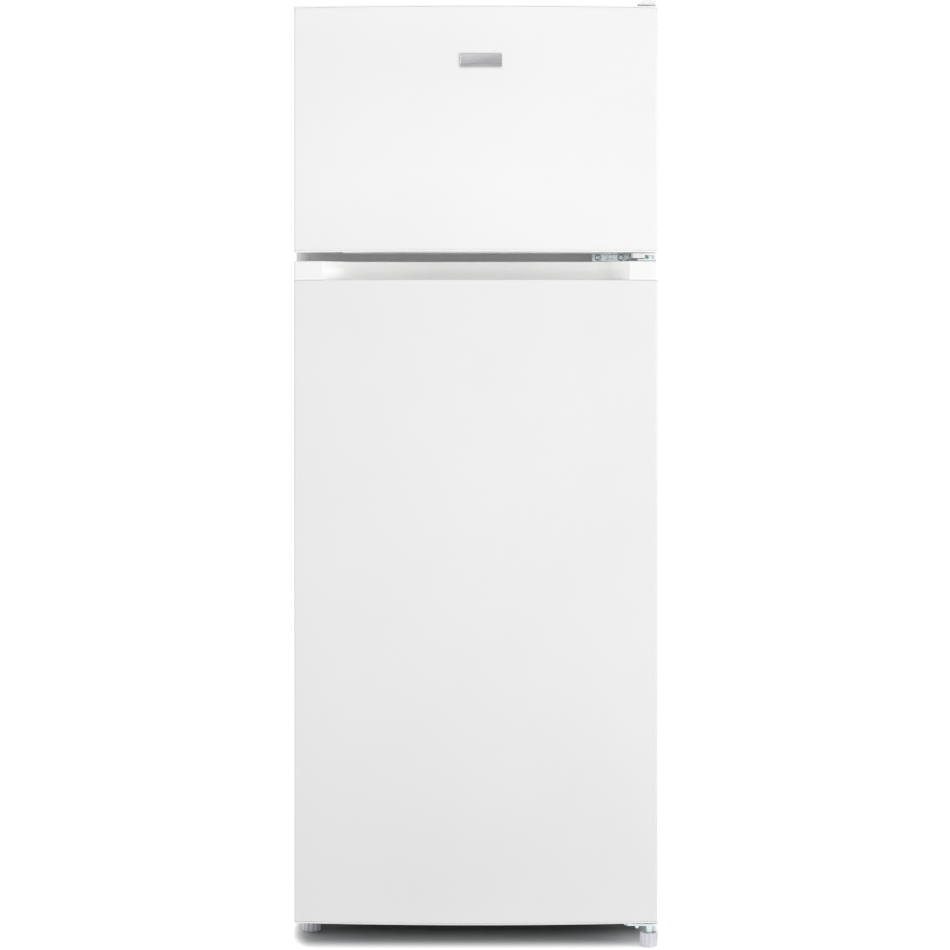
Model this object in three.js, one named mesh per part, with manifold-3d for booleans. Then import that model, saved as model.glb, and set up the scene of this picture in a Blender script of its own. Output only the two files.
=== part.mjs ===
// A two-door refrigerator with the freezer on top: 545 mm wide, 555 mm deep, 1430 mm high.
// Millimetres, +Z up, the doors face -Y, the origin is the middle of the footprint on the floor.
// Run the file with the npm packages three and manifold-3d; the default export is the assembly.

import * as THREE from "three";
import { mergeVertices } from "three/addons/utils/BufferGeometryUtils.js";
import Module from "manifold-3d";

const wasm = await Module();
wasm.setup();

// ---------------------------------------------------------------- driving dimensions
const WIDTH = 545;
const DEPTH = 555;
const HEIGHT = 1430;
const HALF = WIDTH / 2;
const REAR = DEPTH / 2;
const CREST = -DEPTH / 2; // the foremost line of the bowed doors
const BOW = 17.5; // how far the middle of a door stands proud of its sides
const EDGE = CREST + BOW; // the door's front at its sides
const BOW_RADIUS = (HALF * HALF + BOW * BOW) / (2 * BOW);
const BOW_STEPS = 16;
const DOOR_CORNER = 4; // radius of the door's upright front corners
const DOOR_REAR = EDGE + 48; // back of the door, behind its sides
const FLANGE = DOOR_REAR + 12; // front plane of the cabinet, which the gaskets meet
const GAP = 0.3; // between pieces that touch
const SHEET = 0.8; // steel sheet
const LINER = 2; // vacuum-formed plastic
const MOULDED = 2.5; // injection-moulded covers and caps

const CABINET = { bottom: 42, top: 1418, flangeWidth: 21 };
const FRIDGE_DOOR = { bottom: 45, top: 1036, skinTop: 1007 };
const FREEZER_DOOR = { bottom: 1049, top: 1417 };
const CAP_LIP = 2.5; // height of a door cap that shows past the steel skin

// Inside of the two compartments
const FRIDGE = { half: 230, floor: 100, ceiling: 1006, rear: 232 };
const HUMP = { foot: 65, top: 115, height: 285 }; // step in the fridge's floor over the compressor
const FREEZER = { half: 222, floor: 1078, ceiling: 1372, rear: 222 };
const MULLION = { bottom: 1008, top: 1077 };
const RAIL_TOP = 96; // top of the steel rail below the fridge's opening
const BAY = { foot: 105, top: 150, ceiling: 245.6 }; // compressor bay under the hump

// The three hinges share one upright axis
const HINGE = { x: 261, y: EDGE + 25 };
const PIN_RADIUS = 4;
const PIN_HOLE = PIN_RADIUS + 0.35;
const HINGE_SCREWS = { x: [185, 220], z: 1044.5 }; // the middle hinge's, into the mullion

// ---------------------------------------------------------------- materials
const standard = (color, roughness, metalness, more = {}) =>
  new THREE.MeshStandardMaterial({ color, roughness, metalness, ...more });
const WHITE_STEEL = standard("#f3f3f2", 0.35, 0.1);
const WHITE_PLASTIC = standard("#f2f2f1", 0.45, 0);
const LINER_PLASTIC = standard("#eef0f1", 0.4, 0);
const GREY_PLASTIC = standard("#c9cbcc", 0.5, 0);
const CLEAR_PLASTIC = standard("#dfe9ee", 0.15, 0, { transparent: true, opacity: 0.45 });
const GLASS = standard("#cfe4e0", 0.05, 0, { transparent: true, opacity: 0.4 });
const ZINC = standard("#b9c6c8", 0.35, 0.9);
const FOAM = standard("#e8d9a0", 0.9, 0);
const GASKET = standard("#e6e6e4", 0.7, 0);
const BLACK_STEEL = standard("#17181a", 0.4, 0.5);
const COPPER = standard("#b3653a", 0.35, 1);
const ALUMINIUM = standard("#c4c7ca", 0.35, 0.9);
const BADGE = standard("#bfc0c2", 0.3, 0.8);
const FOOT_PLASTIC = standard("#dcdbe2", 0.5, 0);
const GALVANISED = standard("#a9adb0", 0.45, 0.8);
const BLACK_RUBBER = standard("#222222", 0.85, 0);

// ---------------------------------------------------------------- solids
// A closed three.js geometry as a manifold-3d solid, with its faces turned outwards.
function solid(geometry) {
  const bare = geometry.clone();
  for (const name of Object.keys(bare.attributes)) if (name !== "position") bare.deleteAttribute(name);
  const merged = mergeVertices(bare, 1e-4);
  const faces = [];
  for (let i = 0; i < merged.index.count; i += 3) {
    const [a, b, c] = [0, 1, 2].map((k) => merged.index.getX(i + k));
    if (a !== b && b !== c && a !== c) faces.push([a, b, c]);
  }
  const make = (list) =>
    new wasm.Manifold(
      new wasm.Mesh({
        numProp: 3,
        vertProperties: new Float32Array(merged.attributes.position.array),
        triVerts: new Uint32Array(list.flat()),
      }),
    );
  const made = make(faces);
  return made.volume() < 0 ? make(faces.map(([a, b, c]) => [a, c, b])) : made;
}

function geometryOf(body) {
  const data = body.getMesh();
  return new THREE.BufferGeometry()
    .setAttribute("position", new THREE.BufferAttribute(new Float32Array(data.vertProperties), 3))
    .setIndex(new THREE.BufferAttribute(new Uint32Array(data.triVerts), 1));
}

function box(x0, x1, y0, y1, z0, z1) {
  const geometry = new THREE.BoxGeometry(x1 - x0, y1 - y0, z1 - z0);
  return solid(geometry.translate((x0 + x1) / 2, (y0 + y1) / 2, (z0 + z1) / 2));
}

// An outline swept straight from one value of an axis to another. The outline's points are
// (x, y) for axis z, (y, z) for axis x, and (x, z) for axis y.
function prism(outline, axis, from, to) {
  const shape = new THREE.Shape(outline.map(([u, v]) => new THREE.Vector2(u, v)));
  const geometry = new THREE.ExtrudeGeometry(shape, { depth: to - from, bevelEnabled: false });
  if (axis === "z") geometry.translate(0, 0, from);
  if (axis === "x") {
    geometry.translate(0, 0, from);
    geometry.applyMatrix4(new THREE.Matrix4().set(0, 0, 1, 0, 1, 0, 0, 0, 0, 1, 0, 0, 0, 0, 0, 1));
  }
  if (axis === "y") geometry.translate(0, 0, -to).rotateX(Math.PI / 2);
  return solid(geometry);
}

// A round bar along an axis, from a start point.
function rod(axis, [x, y, z], length, radius, sides = 16, endRadius = radius) {
  const geometry = new THREE.CylinderGeometry(endRadius, radius, length, sides).translate(0, length / 2, 0);
  if (axis === "x") geometry.rotateZ(-Math.PI / 2);
  if (axis === "z") geometry.rotateX(Math.PI / 2);
  return solid(geometry.translate(x, y, z));
}

// A turned body about an upright axis, from [radius, height] points that start and end on the axis.
function turned(profile, [x, y], sides = 20) {
  const points = profile.map(([r, z]) => new THREE.Vector2(r, z));
  return solid(new THREE.LatheGeometry(points, sides).rotateX(Math.PI / 2).translate(x, y, 0));
}

// A bent pipe: straight runs between corner points, with each corner rounded to a bend radius.
function pipe(corners, radius, bend, sides = 8) {
  const points = corners.map((p) => new THREE.Vector3(...p));
  const path = new THREE.CurvePath();
  let start = points[0];
  for (let i = 1; i < points.length - 1; i++) {
    const before = points[i].clone().sub(points[i - 1]).normalize();
    const after = points[i + 1].clone().sub(points[i]).normalize();
    const enter = points[i].clone().addScaledVector(before, -bend);
    const leave = points[i].clone().addScaledVector(after, bend);
    path.add(new THREE.LineCurve3(start, enter));
    path.add(new THREE.QuadraticBezierCurve3(enter, points[i], leave));
    start = leave;
  }
  path.add(new THREE.LineCurve3(start, points.at(-1)));
  const centres = [];
  for (const curve of path.curves) {
    const pieces = curve.isLineCurve3 ? 1 : 4;
    for (let k = centres.length ? 1 : 0; k <= pieces; k++) centres.push(curve.getPoint(k / pieces));
  }
  return solid(sweep(centres, radius, sides));
}

// A round section carried along a line of points, with closed ends.
function sweep(centres, radius, sides) {
  const positions = [];
  const index = [];
  let normal = null;
  centres.forEach((centre, i) => {
    const before = centres[Math.max(i - 1, 0)];
    const after = centres[Math.min(i + 1, centres.length - 1)];
    const tangent = after.clone().sub(before).normalize();
    if (!normal) {
      const helper = Math.abs(tangent.z) < 0.9 ? new THREE.Vector3(0, 0, 1) : new THREE.Vector3(1, 0, 0);
      normal = helper.cross(tangent).normalize();
    }
    normal = normal.clone().addScaledVector(tangent, -normal.dot(tangent)).normalize();
    const side = tangent.clone().cross(normal);
    for (let k = 0; k < sides; k++) {
      const angle = (2 * Math.PI * k) / sides;
      const point = centre
        .clone()
        .addScaledVector(normal, radius * Math.cos(angle))
        .addScaledVector(side, radius * Math.sin(angle));
      positions.push(point.x, point.y, point.z);
    }
  });
  const ring = (i, k) => i * sides + (k % sides);
  for (let i = 0; i < centres.length - 1; i++)
    for (let k = 0; k < sides; k++) {
      index.push(ring(i, k), ring(i, k + 1), ring(i + 1, k + 1));
      index.push(ring(i, k), ring(i + 1, k + 1), ring(i + 1, k));
    }
  for (let k = 1; k < sides - 1; k++) {
    index.push(ring(0, 0), ring(0, k + 1), ring(0, k));
    index.push(ring(centres.length - 1, 0), ring(centres.length - 1, k), ring(centres.length - 1, k + 1));
  }
  return new THREE.BufferGeometry()
    .setAttribute("position", new THREE.BufferAttribute(new Float32Array(positions), 3))
    .setIndex(index);
}

// The outline moved outwards by a distance, corner by corner (inwards if negative).
function grown(outline, distance) {
  const count = outline.length;
  return outline.map((point, i) => {
    const [ax, ay] = outline[(i + count - 1) % count];
    const [bx, by] = point;
    const [cx, cy] = outline[(i + 1) % count];
    const unit = (x, y) => [x / Math.hypot(x, y), y / Math.hypot(x, y)];
    const [px, py] = unit(bx - ax, by - ay);
    const [qx, qy] = unit(cx - bx, cy - by);
    const [nx, ny] = [py + qy, -px - qx];
    const scale = distance / (1 + px * qx + py * qy);
    return [bx + nx * scale, by + ny * scale];
  });
}

// A sheet of one thickness that follows a line of points.
function bentSheet(line, thickness, axis, from, to) {
  const side = (distance) =>
    line.map((point, i) => {
      const before = line[Math.max(i - 1, 0)];
      const after = line[Math.min(i + 1, line.length - 1)];
      const unit = (a, b) => {
        const length = Math.hypot(b[0] - a[0], b[1] - a[1]) || 1;
        return [(b[0] - a[0]) / length, (b[1] - a[1]) / length];
      };
      const p = i ? unit(before, point) : unit(point, after);
      const q = i < line.length - 1 ? unit(point, after) : p;
      const scale = distance / (1 + p[0] * q[0] + p[1] * q[1]);
      return [point[0] + (p[1] + q[1]) * scale, point[1] - (p[0] + q[0]) * scale];
    });
  return prism([...side(thickness / 2), ...side(-thickness / 2).reverse()], axis, from, to);
}

const rectangle = (u0, u1, v0, v1) => [
  [u0, v0],
  [u1, v0],
  [u1, v1],
  [u0, v1],
];

function roundedRectangle(u0, u1, v0, v1, radius, steps = 3) {
  const corners = [
    [u1 - radius, v0 + radius, -90],
    [u1 - radius, v1 - radius, 0],
    [u0 + radius, v1 - radius, 90],
    [u0 + radius, v0 + radius, 180],
  ];
  return corners.flatMap(([u, v, first]) =>
    Array.from({ length: steps + 1 }, (_, k) => {
      const angle = ((first + (90 * k) / steps) * Math.PI) / 180;
      return [u + radius * Math.cos(angle), v + radius * Math.sin(angle)];
    }),
  );
}

// A picture-frame ring in the XZ plane, as thick along Y as from..to.
const frameRing = (x, z0, z1, width, from, to) =>
  prism(rectangle(-x, x, z0, z1), "y", from, to).subtract(
    prism(rectangle(-x + width, x - width, z0 + width, z1 - width), "y", from - 1, to + 1),
  );

const joined = (...bodies) => bodies.reduce((a, b) => a.add(b));
const refrigerator = new THREE.Group();

function add(name, body, material) {
  const mesh = new THREE.Mesh(geometryOf(body), material);
  mesh.name = name;
  refrigerator.add(mesh);
  return body;
}

// ---------------------------------------------------------------- doors
// y of the bowed front, inset by a distance.
const front = (x, inset = 0) => CREST + inset + BOW_RADIUS - Math.sqrt(BOW_RADIUS ** 2 - x * x);

// The door's section seen from above: bowed front, rounded front corners, straight sides and back.
function doorOutline(inset, rear = DOOR_REAR - LINER - GAP) {
  const half = HALF - inset;
  const radius = Math.max(DOOR_CORNER - inset, 1);
  const reach = half - radius;
  const points = [];
  for (let i = 0; i <= BOW_STEPS; i++) {
    const x = -reach + (2 * reach * i) / BOW_STEPS;
    points.push([x, front(x, inset)]);
  }
  const corner = [1, 2, 3].map((k) => {
    const angle = (Math.PI / 6) * k;
    return [reach + radius * Math.sin(angle), front(reach, inset) + radius * (1 - Math.cos(angle))];
  });
  const left = corner.map(([x, y]) => [-x, y]).reverse();
  return [...points, ...corner, [half, rear], [-half, rear], ...left];
}

const doorBlock = (inset, z0, z1, rear) => prism(doorOutline(inset, rear), "z", z0, z1);
const BEHIND_SKIN = SHEET + GAP;

// Steel skin: the bowed front and the two sides of a door, open at the back, top and bottom.
const doorSkin = (z0, z1) =>
  doorBlock(0, z0, z1).subtract(doorBlock(SHEET, z0 - 1, z1 + 1, DOOR_REAR + 20));

// A socket for a hinge pin, standing inwards from a cap.
function pinSocket(z0, z1) {
  return rod("z", [HINGE.x, HINGE.y, z0], z1 - z0, 8.6, 14);
}
const pinHole = (z0, z1) => rod("z", [HINGE.x, HINGE.y, z0], z1 - z0, PIN_HOLE, 16);

// A shallow cap that closes one end of a door: a lip as wide as the door and a collar inside the skin.
function plainCap(lipZ0, lipZ1, collarZ0, collarZ1) {
  const lip = doorBlock(0, lipZ0, lipZ1);
  const collar = doorBlock(BEHIND_SKIN, collarZ0, collarZ1).subtract(
    doorBlock(BEHIND_SKIN + MOULDED, collarZ0 - 1, collarZ1 + 1, DOOR_REAR - LINER - GAP - MOULDED),
  );
  return lip.add(collar);
}

// The finger recess seen from above: a straight back wall with a shallow ramp at both ends.
const RECESS = { half: 230, back: EDGE + 12, rampFoot: 172, pocketFloor: 992, lip: 4 };
function recessOutline(extra) {
  const right = [
    [RECESS.half + extra, EDGE - 40],
    [RECESS.half + extra, front(RECESS.half) + 0.1],
    [200 + extra, RECESS.back - 4 + extra],
    [186 + extra, RECESS.back - 1 + extra],
    [RECESS.rampFoot + extra, RECESS.back + extra],
  ];
  const left = right.map(([x, y]) => [-x, y]).reverse();
  return [...right, ...left];
}

// Cut for the fridge door's handle: open to the front and the top, and deeper behind the steel lip.
function handleCut(extra) {
  const open = prism(recessOutline(extra), "z", FRIDGE_DOOR.skinTop - extra, FRIDGE_DOOR.top + 20);
  const hook = prism(recessOutline(extra), "z", RECESS.pocketFloor - extra, FRIDGE_DOOR.skinTop + 1);
  const [low, high] = [RECESS.pocketFloor - 12, FRIDGE_DOOR.skinTop + 3];
  return open.add(hook.intersect(doorBlock(RECESS.lip - extra, low, high, DOOR_REAR + 20)));
}

function fridgeDoorTopCap() {
  const { top, skinTop } = FRIDGE_DOOR;
  const rear = DOOR_REAR - LINER - GAP;
  const outer = joined(doorBlock(0, skinTop + GAP, top), doorBlock(BEHIND_SKIN, 982, skinTop + GAP + 0.1));
  const inner = joined(
    doorBlock(MOULDED, skinTop + 2, top - MOULDED, rear - MOULDED),
    doorBlock(BEHIND_SKIN + MOULDED, 970, skinTop + 2.1, rear - MOULDED),
  );
  const hollow = inner.subtract(handleCut(MOULDED));
  const shell = outer.subtract(handleCut(0)).subtract(hollow);
  return shell.add(pinSocket(1018, top - 1)).subtract(pinHole(1022, top + 1));
}

// Finger groove under the freezer door, behind its front lip.
const GROOVE = { half: 200, front: 7, rear: EDGE + 22, height: 13 };
const grooveCut = (extra) =>
  prism(
    [
      [-GROOVE.half - extra, GROOVE.rear + extra],
      [-GROOVE.half - extra, front(GROOVE.half) + GROOVE.front - extra],
      [-100, front(100) + GROOVE.front - extra],
      [0, front(0) + GROOVE.front - extra],
      [100, front(100) + GROOVE.front - extra],
      [GROOVE.half + extra, front(GROOVE.half) + GROOVE.front - extra],
      [GROOVE.half + extra, GROOVE.rear + extra],
    ],
    "z",
    FREEZER_DOOR.bottom - 5,
    FREEZER_DOOR.bottom + GROOVE.height + extra,
  );

function freezerDoorBottomCap() {
  const { bottom } = FREEZER_DOOR;
  const cap = plainCap(bottom, bottom + CAP_LIP, bottom + CAP_LIP - 0.1, bottom + 20);
  const walls = grooveCut(MOULDED).intersect(doorBlock(3, bottom, bottom + 30));
  return cap
    .add(walls)
    .subtract(grooveCut(0))
    .add(pinSocket(bottom + 1, bottom + 18))
    .subtract(pinHole(bottom - 1, bottom + 14));
}

// The raised ring of a door's inner liner, that reaches into the compartment.
const RIDGE = { width: 16, back: FLANGE + 33 };
const ridgeOf = { fridge: { x: 216, z0: 114, z1: 983 }, freezer: { x: 208, z0: 1090, z1: 1360 } };

function doorLiner(ridge, z0, z1, lugHeights) {
  const plate = prism(rectangle(-HALF, HALF, z0, z1), "y", DOOR_REAR - LINER, DOOR_REAR);
  const ring = frameRing(ridge.x, ridge.z0, ridge.z1, RIDGE.width, DOOR_REAR - 0.1, RIDGE.back);
  const hollow = frameRing(
    ridge.x - LINER,
    ridge.z0 + LINER,
    ridge.z1 - LINER,
    RIDGE.width - 2 * LINER,
    DOOR_REAR - LINER - 1,
    RIDGE.back - LINER,
  );
  const inner = ridge.x - RIDGE.width;
  const lugs = lugHeights.flatMap((z) =>
    [-1, 1].map((s) => {
      const [a, b] = [s * (inner - 5), s * (inner + 1)].sort((p, q) => p - q);
      return box(a, b, DOOR_REAR + 12, DOOR_REAR + 38, z, z + 10);
    }),
  );
  return joined(plate.add(ring).subtract(hollow), ...lugs);
}

// Foam that fills a door: the main block, less what the caps and the sockets take, and the ridge's core.
function doorFoam(ridge, z0, z1) {
  const rear = DOOR_REAR - LINER - 2 * GAP;
  const core = frameRing(
    ridge.x - LINER - GAP,
    ridge.z0 + LINER + GAP,
    ridge.z1 - LINER - GAP,
    RIDGE.width - 2 * (LINER + GAP),
    rear - 1,
    RIDGE.back - LINER - GAP,
  );
  return doorBlock(BEHIND_SKIN + GAP, z0, z1, rear).add(core);
}

const GASKET_SECTION = { width: 14, outer: 264 };
function gasket(z0, z1) {
  const { width, outer } = GASKET_SECTION;
  const base = frameRing(outer, z0, z1, width, DOOR_REAR + GAP, DOOR_REAR + 4);
  const bellows = frameRing(outer - 2, z0 + 2, z1 - 2, width - 4, DOOR_REAR + 3.9, DOOR_REAR + 8);
  const magnet = frameRing(outer - 1, z0 + 1, z1 - 1, width - 2, DOOR_REAR + 7.9, FLANGE - GAP);
  return joined(base, bellows, magnet);
}

// Freezer door
{
  const { bottom, top } = FREEZER_DOOR;
  const skin = [bottom + CAP_LIP, top - CAP_LIP];
  add("freezer_door_skin", doorSkin(skin[0] + GAP, skin[1] - GAP), WHITE_STEEL);
  add("freezer_door_bottom_cap", freezerDoorBottomCap(), WHITE_PLASTIC);
  add(
    "freezer_door_top_cap",
    plainCap(top - CAP_LIP, top, top - 18, top - CAP_LIP + 0.1)
      .add(pinSocket(top - 16, top - 1))
      .subtract(pinHole(top - 14, top + 1)),
    WHITE_PLASTIC,
  );
  add("freezer_door_liner", doorLiner(ridgeOf.freezer, bottom, top, [1142]), LINER_PLASTIC);
  add("freezer_door_insulation", doorFoam(ridgeOf.freezer, bottom + 21, top - 19), FOAM);
  add("freezer_door_gasket", gasket(1055, 1411), GASKET);
  add(
    "freezer_door_hinge_bush",
    prism(
      [
        [233, EDGE + 9],
        [236, EDGE + 6],
        [266, EDGE + 6],
        [269.6, EDGE + 10],
        [269.6, EDGE + 34],
        [264, EDGE + 38],
        [252, EDGE + 38],
        [240, EDGE + 24],
        [233, EDGE + 24],
      ],
      "z",
      1040.9,
      bottom - GAP,
    ).subtract(pinHole(1030, 1060)),
    WHITE_PLASTIC,
  );
  // The blank badge follows the bow of the door.
  const badge = { x: 7, z: 1334, halfWidth: 31.5, halfHeight: 10.5, corner: 1.8, thick: 1.6 };
  const [x0, x1] = [badge.x - badge.halfWidth, badge.x + badge.halfWidth];
  const [z0, z1] = [badge.z - badge.halfHeight, badge.z + badge.halfHeight];
  const plate = prism(roundedRectangle(x0, x1, z0, z1, badge.corner), "y", CREST - 20, CREST + 20);
  const outside = doorBlock(-badge.thick - GAP, z0 - 20, z1 + 20, DOOR_REAR);
  const inside = doorBlock(-GAP, z0 - 30, z1 + 30, DOOR_REAR + 5);
  add("freezer_door_badge", plate.intersect(outside.subtract(inside)), BADGE);
}

// Fridge door
{
  const { bottom, top, skinTop } = FRIDGE_DOOR;
  add("fridge_door_skin", doorSkin(bottom + CAP_LIP + GAP, skinTop), WHITE_STEEL);
  add("fridge_door_top_cap", fridgeDoorTopCap(), WHITE_PLASTIC);
  add(
    "fridge_door_bottom_cap",
    plainCap(bottom, bottom + CAP_LIP, bottom + CAP_LIP - 0.1, bottom + 18)
      .add(pinSocket(bottom + 1, bottom + 16))
      .subtract(pinHole(bottom - 1, bottom + 14)),
    WHITE_PLASTIC,
  );
  add("fridge_door_liner", doorLiner(ridgeOf.fridge, bottom, top, [150, 520, 812]), LINER_PLASTIC);
  add("fridge_door_insulation", doorFoam(ridgeOf.fridge, bottom + 19, 981), FOAM);
  add("fridge_door_gasket", gasket(55, 1030), GASKET);
}

// ---------------------------------------------------------------- door bins
// An open bin with chamfered corners; its ears hang on the lugs at both sides of the liner.
function doorBin(half, z0, height, depth, lug) {
  const rear = DOOR_REAR + 2.5;
  const reach = rear + depth;
  const outline = [
    [-half, rear],
    [half, rear],
    [half, reach - 24],
    [half - 26, reach],
    [-half + 26, reach],
    [-half, reach - 24],
  ];
  const wall = 2.2;
  const room = prism(grown(outline, -wall), "z", z0 + wall, z0 + height + 5);
  const tub = prism(outline, "z", z0, z0 + height).subtract(room);
  const ears = [-1, 1].map((s) => {
    const [a, b] = [s * (half - 1), s * (half + 8)].sort((p, q) => p - q);
    return box(a, b, DOOR_REAR + 13, DOOR_REAR + 37, lug + 10 + GAP, lug + 16);
  });
  return joined(tub, ...ears);
}
add("door_bin_upper", doorBin(191, 800, 66, 100, 812), CLEAR_PLASTIC);
add("door_bin_middle", doorBin(191, 508, 66, 100, 520), CLEAR_PLASTIC);
add("door_bin_bottle", doorBin(191, 136, 118, 105, 150), CLEAR_PLASTIC);
add("freezer_door_bin", doorBin(183, 1130, 62, 68, 1142), CLEAR_PLASTIC);

// Egg tray: two rows of three cups, standing in the upper bin.
{
  const [x0, y0, z0] = [-160, DOOR_REAR + 6, 802.6];
  let tray = box(x0, x0 + 150, y0, y0 + 91, z0, z0 + 22);
  for (let i = 0; i < 3; i++)
    for (let j = 0; j < 2; j++)
      tray = tray.subtract(rod("z", [x0 + 25 + 50 * i, y0 + 23.5 + 45 * j, z0 + 3], 30, 17, 12, 24));
  add("egg_tray", tray, WHITE_PLASTIC);
}

// ---------------------------------------------------------------- cabinet shell
// Steel wrap: both sides and the top in one bent sheet, with a flange turned in at the front.
const BEVEL = 5; // at the roof's two long edges
function wrapOutline(inset, z0) {
  const [x, z] = [HALF - inset, CABINET.top - inset];
  const half = [
    [x, z0],
    [x, z - BEVEL],
    [x - BEVEL, z],
  ];
  return [...half, ...half.map(([a, b]) => [-a, b]).reverse()];
}
{
  const { bottom, top, flangeWidth } = CABINET;
  const block = prism(wrapOutline(0, bottom), "y", FLANGE, REAR);
  const inside = prism(wrapOutline(SHEET, bottom - 20), "y", FLANGE + SHEET, REAR + 10);
  const reach = HALF - flangeWidth;
  const mouth = box(-reach, reach, FLANGE - 5, FLANGE + 5, bottom - 20, top - flangeWidth);
  add("cabinet_wrap", block.subtract(inside).subtract(mouth), WHITE_STEEL);
}
const INSIDE_WRAP = SHEET + 0.4;
const INNER = HALF - INSIDE_WRAP; // half the width inside the wrap

add(
  "rear_panel",
  prism(wrapOutline(INSIDE_WRAP, BAY.ceiling + 1), "y", REAR - 1.1, REAR - GAP),
  GALVANISED,
);

// Base pan: front rail, floor under the foam, the slope and the ceiling of the compressor bay.
const STUD_RADIUS = 5;
const LEFT_FOOT = { x: -257, y: -88, radius: 15, height: 22 };
const RIGHT_FOOT = { x: 262, y: -212, radius: 13.5, height: 22 };
const DRAIN = { x: 60, y: 222 };
{
  const floor = 43;
  const line = [
    [FLANGE + SHEET / 2, RAIL_TOP],
    [FLANGE + SHEET / 2, floor],
    [BAY.foot, floor],
    [BAY.top, BAY.ceiling],
    [REAR - 1.4, BAY.ceiling],
  ];
  const limit = HALF - CABINET.flangeWidth - GAP;
  const sheet = bentSheet(line, SHEET, "x", -INNER, INNER)
    .subtract(box(limit, HALF, FLANGE - 2, FLANGE + 1.3, 0, 200))
    .subtract(box(-HALF, -limit, FLANGE - 2, FLANGE + 1.3, 0, 200))
    .subtract(box(-HALF, -262, 236, 254, 240, 250)) // condenser pipe, up
    .subtract(box(-HALF, -262, 96, 116, 50, 72)) // condenser pipe, back
    .subtract(box(-46, -30, 228, 246, 240, 250)) // suction pipe
    .subtract(rod("z", [DRAIN.x, DRAIN.y, 230], 30, 9, 14));
  const pad = box(LEFT_FOOT.x - 14, LEFT_FOOT.x + 14, LEFT_FOOT.y - 14, LEFT_FOOT.y + 14, 40, 43);
  const stud = rod("z", [LEFT_FOOT.x, LEFT_FOOT.y, 3.6], 38, STUD_RADIUS, 14);
  add("base_pan", joined(sheet, pad, stud), GALVANISED);
}

add(
  "mullion_bar",
  (() => {
    const limit = HALF - CABINET.flangeWidth - GAP;
    const face = box(-limit, limit, FLANGE, FLANGE + SHEET, MULLION.bottom, MULLION.top);
    const webs = [1022, 1062].map((z) => box(-limit, limit, FLANGE + 0.5, FLANGE + 16, z, z + SHEET));
    const holes = HINGE_SCREWS.x.map((x) => rod("y", [x, FLANGE - 2, HINGE_SCREWS.z], 6, 2.5, 10));
    return holes.reduce((body, hole) => body.subtract(hole), joined(face, ...webs));
  })(),
  WHITE_STEEL,
);

// ---------------------------------------------------------------- liners
// Outlines of the two compartments seen from the side, as (y, z).
const LINER_FRONT = FLANGE + 3.1;
const fridgeSide = [
  [LINER_FRONT + LINER, FRIDGE.floor],
  [HUMP.foot, FRIDGE.floor],
  [HUMP.top, HUMP.height],
  [FRIDGE.rear, HUMP.height],
  [FRIDGE.rear, FRIDGE.ceiling],
  [LINER_FRONT + LINER, FRIDGE.ceiling],
];
const freezerSide = [
  [LINER_FRONT + LINER, FREEZER.floor],
  [FREEZER.rear, FREEZER.floor],
  [FREEZER.rear, FREEZER.ceiling],
  [LINER_FRONT + LINER, FREEZER.ceiling],
];
const openFront = (side) => side.map(([y, z]) => [y < LINER_FRONT + 3 ? FLANGE - 30 : y, z]);

// A compartment's tub with its front rim, which tucks in behind the steel flange.
function liner(side, half, rim) {
  const tub = prism(grown(side, LINER), "x", -half - LINER, half + LINER);
  const rimPlate = box(-rim.x, rim.x, LINER_FRONT - LINER, LINER_FRONT + 0.1, rim.z0, rim.z1);
  return tub.add(rimPlate).subtract(prism(openFront(side), "x", -half, half));
}

const FRIDGE_RIM = { x: 262, z0: 84, z1: 1018 };
const FREEZER_RIM = { x: 262, z0: 1066, z1: 1406 };
const SHELF_Y = { front: -84, rear: 226 };
const RIB = { depth: 6, height: 8 };

// Ledges moulded in both side walls, whose tops are at the given heights.
const ledges = (half, heights, y0, y1) =>
  heights.flatMap((z) =>
    [-1, 1].map((s) => {
      const [a, b] = [s * (half - RIB.depth), s * (half + 0.5)].sort((p, q) => p - q);
      return box(a, b, y0, y1, z - RIB.height, z);
    }),
  );
const CRISPER_SHELF = 286;

const FRIDGE_LEDGES = [401, 516, 631, 746, 861];
const FREEZER_LEDGES = [1150, 1213, 1276];
add(
  "fridge_liner",
  joined(
    liner(fridgeSide, FRIDGE.half, FRIDGE_RIM),
    ...ledges(FRIDGE.half, FRIDGE_LEDGES, SHELF_Y.front - 10, FRIDGE.rear + 0.5),
    ...ledges(FRIDGE.half, [CRISPER_SHELF], SHELF_Y.front - 10, HUMP.top - 3),
  ).subtract(rod("z", [DRAIN.x, DRAIN.y, 280], 10, 8.5, 14)),
  LINER_PLASTIC,
);
add(
  "freezer_liner",
  joined(
    liner(freezerSide, FREEZER.half, FREEZER_RIM),
    ...ledges(FREEZER.half, FREEZER_LEDGES, -90, FREEZER.rear + 0.5),
  ),
  LINER_PLASTIC,
);

// ---------------------------------------------------------------- cold circuit
const PIPE = 3; // outer radius of the steel and copper pipes
const CONDENSER_X = -INNER + PIPE + 0.7;
const COMPRESSOR = { x: 70, y: 203, radius: 60, bottom: 54, top: 200 };
const CONDENSER_PASSES = [245, 193, 141, 89, 37, -15, -67, -119];

{
  const behind = FRIDGE.rear + LINER;
  add("fridge_evaporator", box(-180, 180, behind + GAP, behind + 2.2, 420, 980), ALUMINIUM);
}
add(
  "freezer_evaporator",
  bentSheet(
    [
      [-150, FREEZER.floor - LINER - 1.2],
      [FREEZER.rear + LINER + 1.2, FREEZER.floor - LINER - 1.2],
      [FREEZER.rear + LINER + 1.2, FREEZER.ceiling + LINER + 1.2],
      [-150, FREEZER.ceiling + LINER + 1.2],
    ],
    1.6,
    "x",
    -190,
    190,
  ),
  ALUMINIUM,
);

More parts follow.
